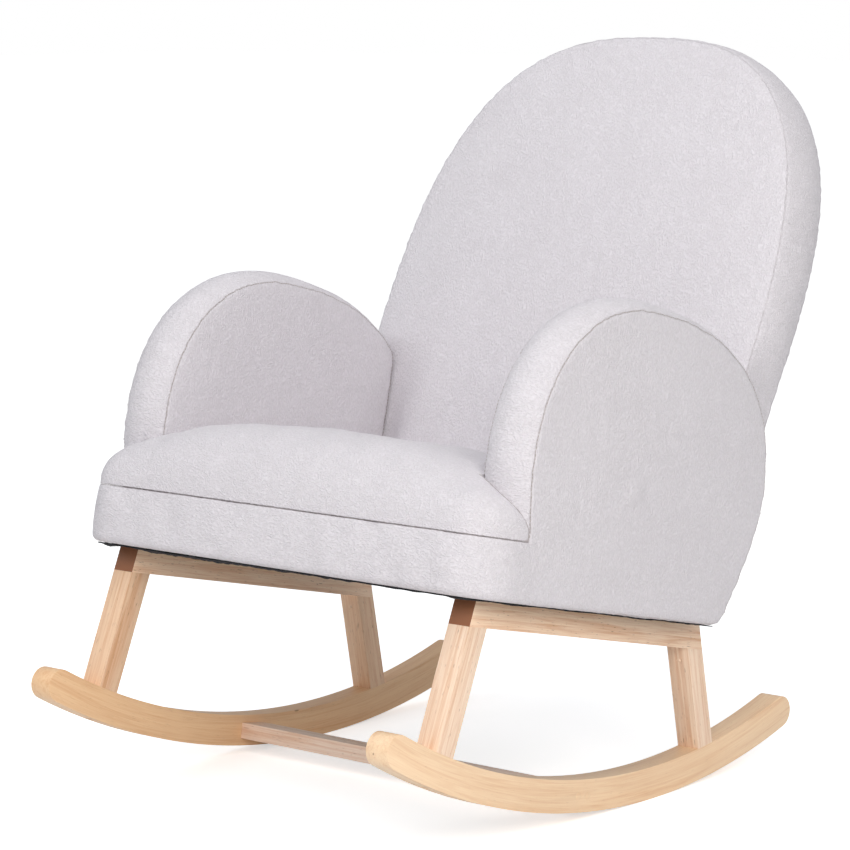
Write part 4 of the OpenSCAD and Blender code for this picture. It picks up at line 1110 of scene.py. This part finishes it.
def crepe_group(look):
    """Crinkled cloth: painted shade in its valleys with a broad random mottling of its tone, and
    height of its ridges.
    """
    graph, source, result, _ = new_tree("Crepe", "ShaderNodeTree", [
        ("Vector", "NodeSocketVector", None),
        ("Stretch", "NodeSocketVector", (1.0, 1.0, 1.0)),
        ("Scale", "NodeSocketFloat", look.crepe),
    ], [("Shade", "NodeSocketFloat"), ("Height", "NodeSocketFloat")])
    vector, stretch = source.outputs["Vector"], source.outputs["Stretch"]
    warp = graph.add("ShaderNodeTexNoise", {"Vector": vector, "Scale": 55.0, "Detail": 2.0})
    offset = graph.vector("SUBTRACT", warp.outputs["Color"], (0.5, 0.5, 0.5))
    offset = graph.vector("MULTIPLY", offset, (0.010, 0.010, 0.010))
    bent = graph.vector("MULTIPLY", graph.vector("ADD", vector, offset), stretch)
    ridge = graph.ramp(graph.noise(bent, source.outputs["Scale"], 1.0, 0.4, 0.3), 0.28, 0.72)
    weave = graph.noise(vector, 1500.0, 1.0)
    valley = graph.math("SUBTRACT", 1.0, ridge)
    broad = graph.noise(vector, 11.0, 3.0)
    # Shade: painted shade in the valleys between the ridges, plus a broad random mottling of the
    # tone
    graph.feed(result, {
        "Shade": graph.math("ADD", graph.times(valley, 0.45), graph.times(broad, 0.35)),
        "Height": graph.math("ADD", graph.times(ridge, 0.85), graph.times(weave, 0.15)),
    })
    return graph.tree


def seam_group():
    """Sewn seam from its own UV: a dark line, partly the seam's own brown and partly painted shade
    in its groove, that breathes a little along its length.
    """
    graph, source, result, _ = new_tree("Sewn seam", "ShaderNodeTree", [
        ("UV", "NodeSocketVector", None),
        ("Width", "NodeSocketFloat", 0.0009),
    ], [("Mask", "NodeSocketFloat")])
    parts = graph.add("ShaderNodeSeparateXYZ", {0: source.outputs["UV"]})
    across, along = parts.outputs[0], parts.outputs[1]
    beat = graph.noise(graph.add("ShaderNodeCombineXYZ", {0: along}).outputs[0], 160.0, 2.0)
    width = graph.times(source.outputs["Width"], graph.math("ADD", beat, 0.5))
    away = graph.ramp(graph.math("DIVIDE", across, width), 0.35, 1.25)
    mask = graph.math("SUBTRACT", 1.0, away)
    graph.feed(result, {"Mask": graph.times(mask, graph.ramp(beat, 0.1, 0.6))})
    return graph.tree


def grain_group():
    """Timber along the vector's Z: long streaks, fine fibres and short dark pores."""
    graph, source, result, _ = new_tree("Timber grain", "ShaderNodeTree", [
        ("Vector", "NodeSocketVector", None),
        ("Colour", "NodeSocketColor", (0.8, 0.6, 0.4, 1.0)),
        ("Contrast", "NodeSocketFloat", 0.3),
        ("Pores", "NodeSocketFloat", 0.4),
    ], [("Colour", "NodeSocketColor"), ("Roughness", "NodeSocketFloat"),
        ("Height", "NodeSocketFloat")])

    def drawn_out(across, along, *look):
        """Noise with so many marks in a metre across the grain and along it."""
        size = (across, across, along)
        return graph.noise(graph.vector("MULTIPLY", source.outputs["Vector"], size), 1.0, *look)

    def darkened(share, tone, by):
        return graph.mix(share, tone, graph.mix(1.0, tone, rgba(by), "MULTIPLY"))

    streak = drawn_out(150.0, 5.0, 4.0, 0.6, 0.8)
    fibre = drawn_out(700.0, 22.0, 2.0)
    broad = drawn_out(30.0, 3.0, 2.0)
    pore = graph.times(
        graph.ramp(drawn_out(900.0, 90.0, 1.0), 0.66, 0.78), source.outputs["Pores"])
    fleck = graph.times(graph.ramp(drawn_out(120.0, 34.0, 0.0), 0.835, 0.88), 0.65)
    share = graph.math("ADD", graph.times(graph.ramp(streak, 0.40, 0.72), 0.7),
                       graph.times(graph.ramp(fibre, 0.35, 0.75), 0.35))
    share = graph.times(share, source.outputs["Contrast"])
    share = graph.math("ADD", share, graph.times(graph.ramp(broad, 0.45, 0.75), 0.12), True)
    tone = darkened(share, source.outputs["Colour"], (0.74, 0.52, 0.37))
    tone = darkened(pore, tone, (0.42, 0.30, 0.24))
    tone = darkened(fleck, tone, (0.36, 0.24, 0.17))
    graph.feed(result, {
        "Colour": tone,
        "Roughness": graph.math("ADD", 0.38, graph.times(fibre, 0.16)),
        "Height": graph.math("SUBTRACT", graph.times(fibre, 0.4), pore),
    })
    return graph.tree


def cloth_material(look, sizes, groups, name, stretch, seams):
    """Cover cloth, with its crepe drawn out along one direction and a line along its seams."""
    material, graph, shader = new_material(name)
    crepe = graph.add("ShaderNodeGroup", node_tree=groups["crepe"])
    graph.feed(crepe, {
        "Vector": level_frame(graph, sizes), "Stretch": stretch, "Scale": look.crepe})
    uv = graph.add("ShaderNodeUVMap", uv_map="seam")
    seam = graph.add("ShaderNodeGroup", {"UV": uv.outputs[0]}, node_tree=groups["seam"])
    # Painted valley shade and random mottling of the crepe darken the base towards the crease
    # colour
    tone = graph.mix(crepe.outputs["Shade"], rgba(look.base), rgba(look.crease))
    height = graph.math("SUBTRACT", crepe.outputs["Height"], seam.outputs["Mask"])
    # The seam line is partly the seam's own brown and partly painted shade in its groove
    graph.feed(shader, {
        "Base Color": graph.mix(graph.times(seam.outputs["Mask"], seams), tone, rgba(look.seam)),
        "Normal": graph.bump(look.bump, 0.0009, height),
        "Roughness": 0.92, "Specular IOR Level": 0.25,
        "Sheen Weight": 0.12, "Sheen Roughness": 0.5,
    })
    return material


def grain_axes(graph, sizes, grain):
    """Coordinates whose Z runs along the grain: round a rocker, across, or at an angle."""
    vector = level_frame(graph, sizes)
    if grain == "round":
        parts = graph.add("ShaderNodeSeparateXYZ", {0: vector})
        y = graph.math("SUBTRACT", parts.outputs[1], sizes.rocker_y)
        z = graph.math("SUBTRACT", sizes.rocker_z, parts.outputs[2])
        turn = graph.times(graph.math("ARCTAN2", y, z), sizes.rocker_radius)
        radius = graph.math("SQRT", graph.math("ADD", graph.times(y, y), graph.times(z, z)))
        return graph.add("ShaderNodeCombineXYZ", {
            0: parts.outputs[0], 1: radius, 2: turn}).outputs[0]
    angles = (0.0, RIGHT_ANGLE, 0.0) if grain == "across" else (grain, 0.0, 0.0)
    return graph.add("ShaderNodeMapping", {"Vector": vector, "Rotation": angles}).outputs[0]


def timber_material(sizes, groups, name, tone, grain, contrast, pores, ends=None):
    """Lacquered timber. ends is the colour of its end grain at the front, where it has one."""
    material, graph, shader = new_material(name)
    wood = graph.add("ShaderNodeGroup", node_tree=groups["grain"])
    graph.feed(wood, {
        "Vector": grain_axes(graph, sizes, grain), "Colour": rgba(tone),
        "Contrast": contrast, "Pores": pores})
    surface = wood.outputs["Colour"]
    if ends is not None:
        normal = graph.add("ShaderNodeNewGeometry").outputs["Normal"]
        front = (0.0, -math.cos(sizes.rest_tilt), math.sin(sizes.rest_tilt))
        facing = graph.add("ShaderNodeVectorMath", {0: normal, 1: front}, operation="DOT_PRODUCT")
        surface = graph.mix(graph.ramp(facing.outputs["Value"], 0.8, 0.95), surface, rgba(ends))
    graph.feed(shader, {
        "Base Color": surface, "Roughness": wood.outputs["Roughness"],
        "Normal": graph.bump(0.25, 0.0003, wood.outputs["Height"]),
        "Coat Weight": 0.25, "Coat Roughness": 0.25,
    })
    return material


def plain_material(sizes, name, tone, roughness, metallic, scale, spread):
    """Plain surface with a little mottling: steel, plywood or black cloth."""
    material, graph, shader = new_material(name)
    speck = graph.noise(level_frame(graph, sizes), scale, 3.0)
    graph.feed(shader, {
        "Base Color": graph.mix(
            graph.ramp(speck, 0.35, 0.65), rgba(tone), rgba(tinted(tone, (1 - spread,) * 3))),
        "Normal": graph.bump(0.3, 0.0004, speck),
        "Roughness": graph.math("ADD", roughness - 0.06, graph.times(speck, 0.12)),
        "Metallic": metallic,
    })
    return material


def thread_material(look, sizes):
    """Twisted sewing thread."""
    material, graph, shader = new_material("Thread")
    twist = graph.noise(level_frame(graph, sizes), 1800.0, 1.0)
    dark = tinted(look.thread, (0.6, 0.6, 0.6))
    graph.feed(shader, {
        "Base Color": graph.mix(twist, rgba(look.thread), rgba(dark)), "Roughness": 0.8})
    return material


MATERIALS = {}
SEAMS = []


class CHAIR_OT_materials(Operator):
    """Make the chair's materials and give the kept solids theirs"""

    bl_idname = "chair.materials"
    bl_label = "Materials"

    def execute(self, context):
        sizes, cloth, wood = context.scene.chair, context.scene.cloth, context.scene.wood
        groups = {"crepe": crepe_group(cloth), "seam": seam_group(), "grain": grain_group()}
        for key, values in COVERS.items():
            MATERIALS[key] = cloth_material(cloth, sizes, groups, *values)
        for key, values in PLAIN.items():
            MATERIALS[key] = plain_material(sizes, *values)
        MATERIALS["thread"] = thread_material(cloth, sizes)
        timber = {
            "rail_wood": ("Rail timber", wood.rail, RIGHT_ANGLE, 0.95, 1.0, wood.end),
            "stretcher_wood": ("Stretcher timber", wood.stretcher, "across", 0.75, 0.7),
        }
        # Painted shade: the right side's legs and rockers take the far-side shade tint, the left
        # side keeps the plain tone
        for side, tint in (("left", (1.0, 1.0, 1.0)), ("right", wood.far_side_shade)):
            leg, rocker = tinted(wood.leg, tint), tinted(wood.rocker, tint)
            timber[f"leg_front_{side}"] = (
                f"Front leg timber {side}", leg, wood.rake_front, 0.85, 0.75)
            timber[f"leg_rear_{side}"] = (
                f"Rear leg timber {side}", leg, -wood.rake_rear, 0.75, 0.75)
            timber[f"rocker_{side}"] = (f"Rocker timber {side}", rocker, "round", 0.50, 0.25)
        for key, values in timber.items():
            MATERIALS[key] = timber_material(sizes, groups, *values)
        for part in frame["record"]["subparts"]:
            slot, name = part["material_slot"], part["node"]
            if name in MATERIALS:
                slot = name
            elif slot == "leg_wood":
                slot = "leg_front_left"
            if slot in MATERIALS:
                data = frame["nodes"][name].data
                data.materials.clear()
                data.materials.append(MATERIALS[slot])
        return {"FINISHED"}


class CHAIR_OT_timber(Operator):
    """Round the edges of the rails, legs, rockers and stretcher"""

    bl_idname = "chair.timber"
    bl_label = "Timber"

    def execute(self, context):
        nodes = ["stretcher"]
        for side in SIDES:
            nodes += [f"rail_{side}", f"leg_front_{side}", f"leg_rear_{side}", f"rocker_{side}"]
        for name in nodes:
            mesh = frame["nodes"][name].data.copy()
            mesh.name = f"{name}_timber"
            bm = bmesh.new()
            bm.from_mesh(mesh)
            bmesh.ops.remove_doubles(bm, verts=bm.verts, dist=0.00001)
            bmesh.ops.dissolve_limit(
                bm, angle_limit=FLAT_TURN, verts=bm.verts, edges=bm.edges)
            sharp = [e for e in bm.edges
                     if len(e.link_faces) == 2 and e.calc_face_angle(0.0) > EDGE_TURN]
            bmesh.ops.bevel(
                bm, geom=sharp, offset=context.scene.wood.bevel, offset_type="OFFSET",
                segments=3, profile=0.5, affect="EDGES", clamp_overlap=True)
            bmesh.ops.recalc_face_normals(bm, faces=bm.faces)
            bm.to_mesh(mesh)
            bm.free()
            mesh.polygons.foreach_set("use_smooth", [True] * len(mesh.polygons))
            mesh.set_sharp_from_angle(angle=TIMBER_ANGLE)
            new_object(f"{name}_timber", mesh, (name,))
        return {"FINISHED"}


class CHAIR_OT_arms(Operator):
    """Build the two padded arms, each with two panels and a band between two seams"""

    bl_idname = "chair.arms"
    bl_label = "Arms"

    def execute(self, context):
        s = context.scene.chair
        rings, poles, zone, seams = arm_rings(s)
        centre = (s.half_width - s.arm_thickness / 2, *arm_centre(s))
        tucked = (1 - smooth_step(rings[..., 2], s.seam_z - 0.006, s.seam_z + 0.012))
        tucked *= rings[..., 1] < s.arm_peak
        rings, uv, poles = pressed(rings, poles, s, seams, centre, SEEDS["arm"], tucked)
        h = np.clip((rings[..., 2] - s.base_z) / (s.seam_z - s.base_z), 0, 1)
        flush = s.half_width + s.band_swell * np.sin(math.pi * h)
        outer = np.arange(len(rings))[:, None] <= seams[0]
        rings[..., 0] = np.where(
            outer & (tucked > 0.5), np.maximum(rings[..., 0], flush), rings[..., 0])
        sole = s.base_z + s.foot_round
        lifted = np.clip(sole - rings[..., 2], 0, s.foot_round)
        tuck = s.foot_round - np.sqrt(s.foot_round ** 2 - lifted ** 2)
        rings[..., 0] = np.minimum(rings[..., 0], s.half_width + 0.0015 - tuck)
        for seam in seams:
            path = rings[seam][:-ARM_FOOT]
            low = np.where(path[:, 1] < s.arm_peak, s.seam_z + 0.006, s.base_z + 0.012)
            path = path[path[:, 2] > low]
            away = path - np.array(centre)
            path = path + RAISED * away / np.linalg.norm(away, axis=1, keepdims=True)
            SEAMS.extend(resting(s, mirrored(path, sign)) for sign in SIDES.values())
        for side, sign in SIDES.items():
            turned, ends = mirrored(rings, sign), mirrored(poles, sign)
            mesh = ring_mesh(
                f"arm_{side}", resting(s, turned), resting(s, ends),
                [MATERIALS["panel"], MATERIALS["band"]], zone, uv)
            piece = new_object(f"arm_{side}", mesh, (
                f"arm_outer_pad_{side}", f"arm_inner_pad_{side}", f"arm_band_pad_{side}"))
        return {"FINISHED"}


class CHAIR_OT_back(Operator):
    """Build the padded back with its front panel, band and outside panel"""

    bl_idname = "chair.back"
    bl_label = "Back"

    def execute(self, context):
        s = context.scene.chair
        rings, poles, zone, seams = back_rings(s)
        centre = in_back(s, *np.array([[0.0], [BACK_HEART[0]], [BACK_HEART[1]]]))[0]
        rings, uv, poles = pressed(rings, poles, s, seams, centre, SEEDS["back"])
        mesh = ring_mesh(
            "back", resting(s, rings), resting(s, poles),
            [MATERIALS["back panel"], MATERIALS["back band"]], zone, uv)
        piece = new_object("back", mesh, (
            "back_front_pad", "back_edge_pad", "back_outside_pad"))
        return {"FINISHED"}


class CHAIR_OT_seat(Operator):
    """Build the seat's cushion, the band under it and the dust cover below"""

    bl_idname = "chair.seat"
    bl_label = "Seat"

    def execute(self, context):
        s = context.scene.chair
        mesh = seat_band_mesh(s, [MATERIALS["front"]])
        band = new_object("seat_band", mesh, ("seat_front_pad",))
        mesh = cushion_mesh(s, [MATERIALS["plain"]])
        cushion = new_object("seat_cushion_cover", mesh, ("seat_cushion",))
        mesh, area = cover_mesh(s, [MATERIALS["black_cloth"]])
        cover = new_object("dust_cover_cloth", mesh, ("dust_cover",))
        return {"FINISHED"}


class CHAIR_OT_stitches(Operator):
    """Sew the seams of the arms with stitches"""

    bl_idname = "chair.stitches"
    bl_label = "Stitches"

    def execute(self, context):
        look = context.scene.cloth
        vertices, edges = [], []
        for path in SEAMS:
            start = len(vertices)
            vertices += path.tolist()
            edges += [(start + i, start + i + 1) for i in range(len(path) - 1)]
        base = bpy.data.meshes.new("seam_paths")
        base.from_pydata(vertices, edges, [])
        tree, names = stitch_tree()
        mesh = grown("seam_stitches", base, stitch_mesh(look), tree, names, {
            "Material": MATERIALS["thread"], "Step": look.stitch + look.stitch_gap,
            "Variation": STITCH_SPREAD, "Seed": SEEDS["stitches"]})
        mesh.polygons.foreach_set("use_smooth", [True] * len(mesh.polygons))
        new_object("seam_stitches", mesh)
        return {"FINISHED"}


class CHAIR_OT_plugs(Operator):
    """Set the wooden plugs over the stretcher's screws"""

    bl_idname = "chair.plugs"
    bl_label = "Plugs"

    def execute(self, context):
        s = context.scene.chair
        tree, names = plug_tree()
        for side, sign in SIDES.items():
            places = [(s.rocker_face, s.plug_y + k * s.plug_step_y, s.plug_z + k * s.plug_step_z)
                      for k in (-1, 1)]
            base = bpy.data.meshes.new("plug_places")
            base.from_pydata(resting(s, mirrored(places, sign)).tolist(), [], [])
            part = plug_mesh(s)
            if sign < 0:
                part.transform(Matrix.Diagonal((-1.0, 1.0, 1.0, 1.0)))
                outwards(part)
            mesh = grown(f"rocker_plugs_{side}", base, part, tree, names, {
                "Material": MATERIALS[f"rocker_{side}"],
                "Turn": PLUG_TURN, "Seed": SEEDS["plugs"]})
            new_object(f"rocker_plugs_{side}", mesh)
        return {"FINISHED"}


def placed_item(name, data, place, turn):
    """Link a lamp or camera at its place."""
    item = bpy.data.objects.new(name, data)
    item.location = place
    item.rotation_euler = Euler(turn)
    bpy.context.scene.collection.objects.link(item)
    return item


def lay_floor(look):
    """Pale matt floor, brighter as the camera sees it and still more so away from the chair."""
    half = look.floor_size / 2
    corners = [(-half, -half, 0), (half, -half, 0), (half, half, 0), (-half, half, 0)]
    mesh = bpy.data.meshes.new("floor")
    mesh.from_pydata(corners, [], [(0, 1, 2, 3)])
    material, graph, shader = new_material("Floor")
    seen = graph.add("ShaderNodeLightPath").outputs["Is Camera Ray"]
    place = graph.add("ShaderNodeTexCoord").outputs["Object"]
    away = graph.add("ShaderNodeVectorMath", {0: place}, operation="LENGTH").outputs["Value"]
    lift = graph.math("ADD", look.lift, graph.times(graph.ramp(away, 0.9, 3.0), 0.15))
    graph.feed(shader, {
        "Base Color": (0.93, 0.93, 0.93, 1.0), "Roughness": 0.9, "Specular IOR Level": 0.0,
        "Emission Color": WHITE, "Emission Strength": graph.times(seen, lift),
    })
    mesh.materials.append(material)
    floor = bpy.data.objects.new("floor", mesh)
    bpy.context.scene.collection.objects.link(floor)


def light_sky(look):
    """Even light from all sides, which the camera sees as white."""
    world = bpy.data.worlds.new("Studio")
    bpy.context.scene.world = world
    world.use_nodes = True
    graph, nodes = Graph(world.node_tree), world.node_tree.nodes
    sky = graph.feed(nodes["Background"], {
        "Color": (0.955, 0.98, 1.0, 1.0), "Strength": look.sky})
    white = graph.add("ShaderNodeBackground", {"Color": WHITE, "Strength": 1.0})
    ray = graph.add("ShaderNodeLightPath")
    mixed = graph.add("ShaderNodeMixShader", {
        0: ray.outputs["Is Camera Ray"], 1: sky.outputs[0], 2: white.outputs[0]})
    graph.feed(nodes["World Output"], {"Surface": mixed.outputs[0]})


def hang_lamps(look):
    """Soft lamps that face the chair."""
    for name, place, tint in LIGHTS:
        light = bpy.data.lights.new(name, "AREA")
        light.shape = "RECTANGLE"
        light.size, light.size_y = LAMP_SIZE
        light.energy = getattr(look, name)
        light.color = tint
        way = np.array(LAMP_AIM) - np.array(place)
        down = math.acos(-way[2] / np.linalg.norm(way))
        placed_item(name, light, place, (down, 0.0, math.atan2(way[1], way[0]) - RIGHT_ANGLE))


class CHAIR_OT_stage(Operator):
    """Set the floor, the soft light and the camera"""

    bl_idname = "chair.stage"
    bl_label = "Stage"

    def execute(self, context):
        scene, look = context.scene, context.scene.stage
        lay_floor(look)
        light_sky(look)
        hang_lamps(look)
        data = bpy.data.cameras.new("camera")
        data.lens = look.lens
        data.sensor_width = 36.0
        data.shift_x, data.shift_y = look.shift_x, look.shift_y
        scene.camera = placed_item("camera", data, look.camera, look.turn)
        scene.view_settings.view_transform = "Standard"
        return {"FINISHED"}


class CHAIR_PT_panel(Panel):
    """Sizes and looks of the chair, and its pieces in the order of making"""

    bl_label = "Rocking Chair"
    bl_idname = "CHAIR_PT_panel"
    bl_space_type = "VIEW_3D"
    bl_region_type = "UI"
    bl_category = "Rocking Chair"

    def draw(self, context):
        for step in STEPS:
            self.layout.operator(step.bl_idname)
        for group in (context.scene.chair, context.scene.cloth, context.scene.wood,
                      context.scene.stage):
            box = self.layout.box()
            for key in group.__annotations__:
                box.prop(group, key)


STEPS = (
    CHAIR_OT_stage, CHAIR_OT_materials, CHAIR_OT_timber, CHAIR_OT_plugs, CHAIR_OT_arms,
    CHAIR_OT_back, CHAIR_OT_seat, CHAIR_OT_stitches,
)
GROUPS = {"chair": ChairSizes, "cloth": ClothLook, "wood": WoodLook, "stage": StageLook}


def register():
    for kind in (*GROUPS.values(), *STEPS, CHAIR_PT_panel):
        bpy.utils.register_class(kind)
    for name, kind in GROUPS.items():
        setattr(bpy.types.Scene, name, PointerProperty(type=kind))


def unregister():
    for name in GROUPS:
        delattr(bpy.types.Scene, name)
    for kind in (CHAIR_PT_panel, *reversed(STEPS), *GROUPS.values()):
        bpy.utils.unregister_class(kind)


def main():
    register()
    for step in STEPS:
        group, name = step.bl_idname.split(".")
        getattr(getattr(bpy.ops, group), name)()


if __name__ == "__main__":
    main()
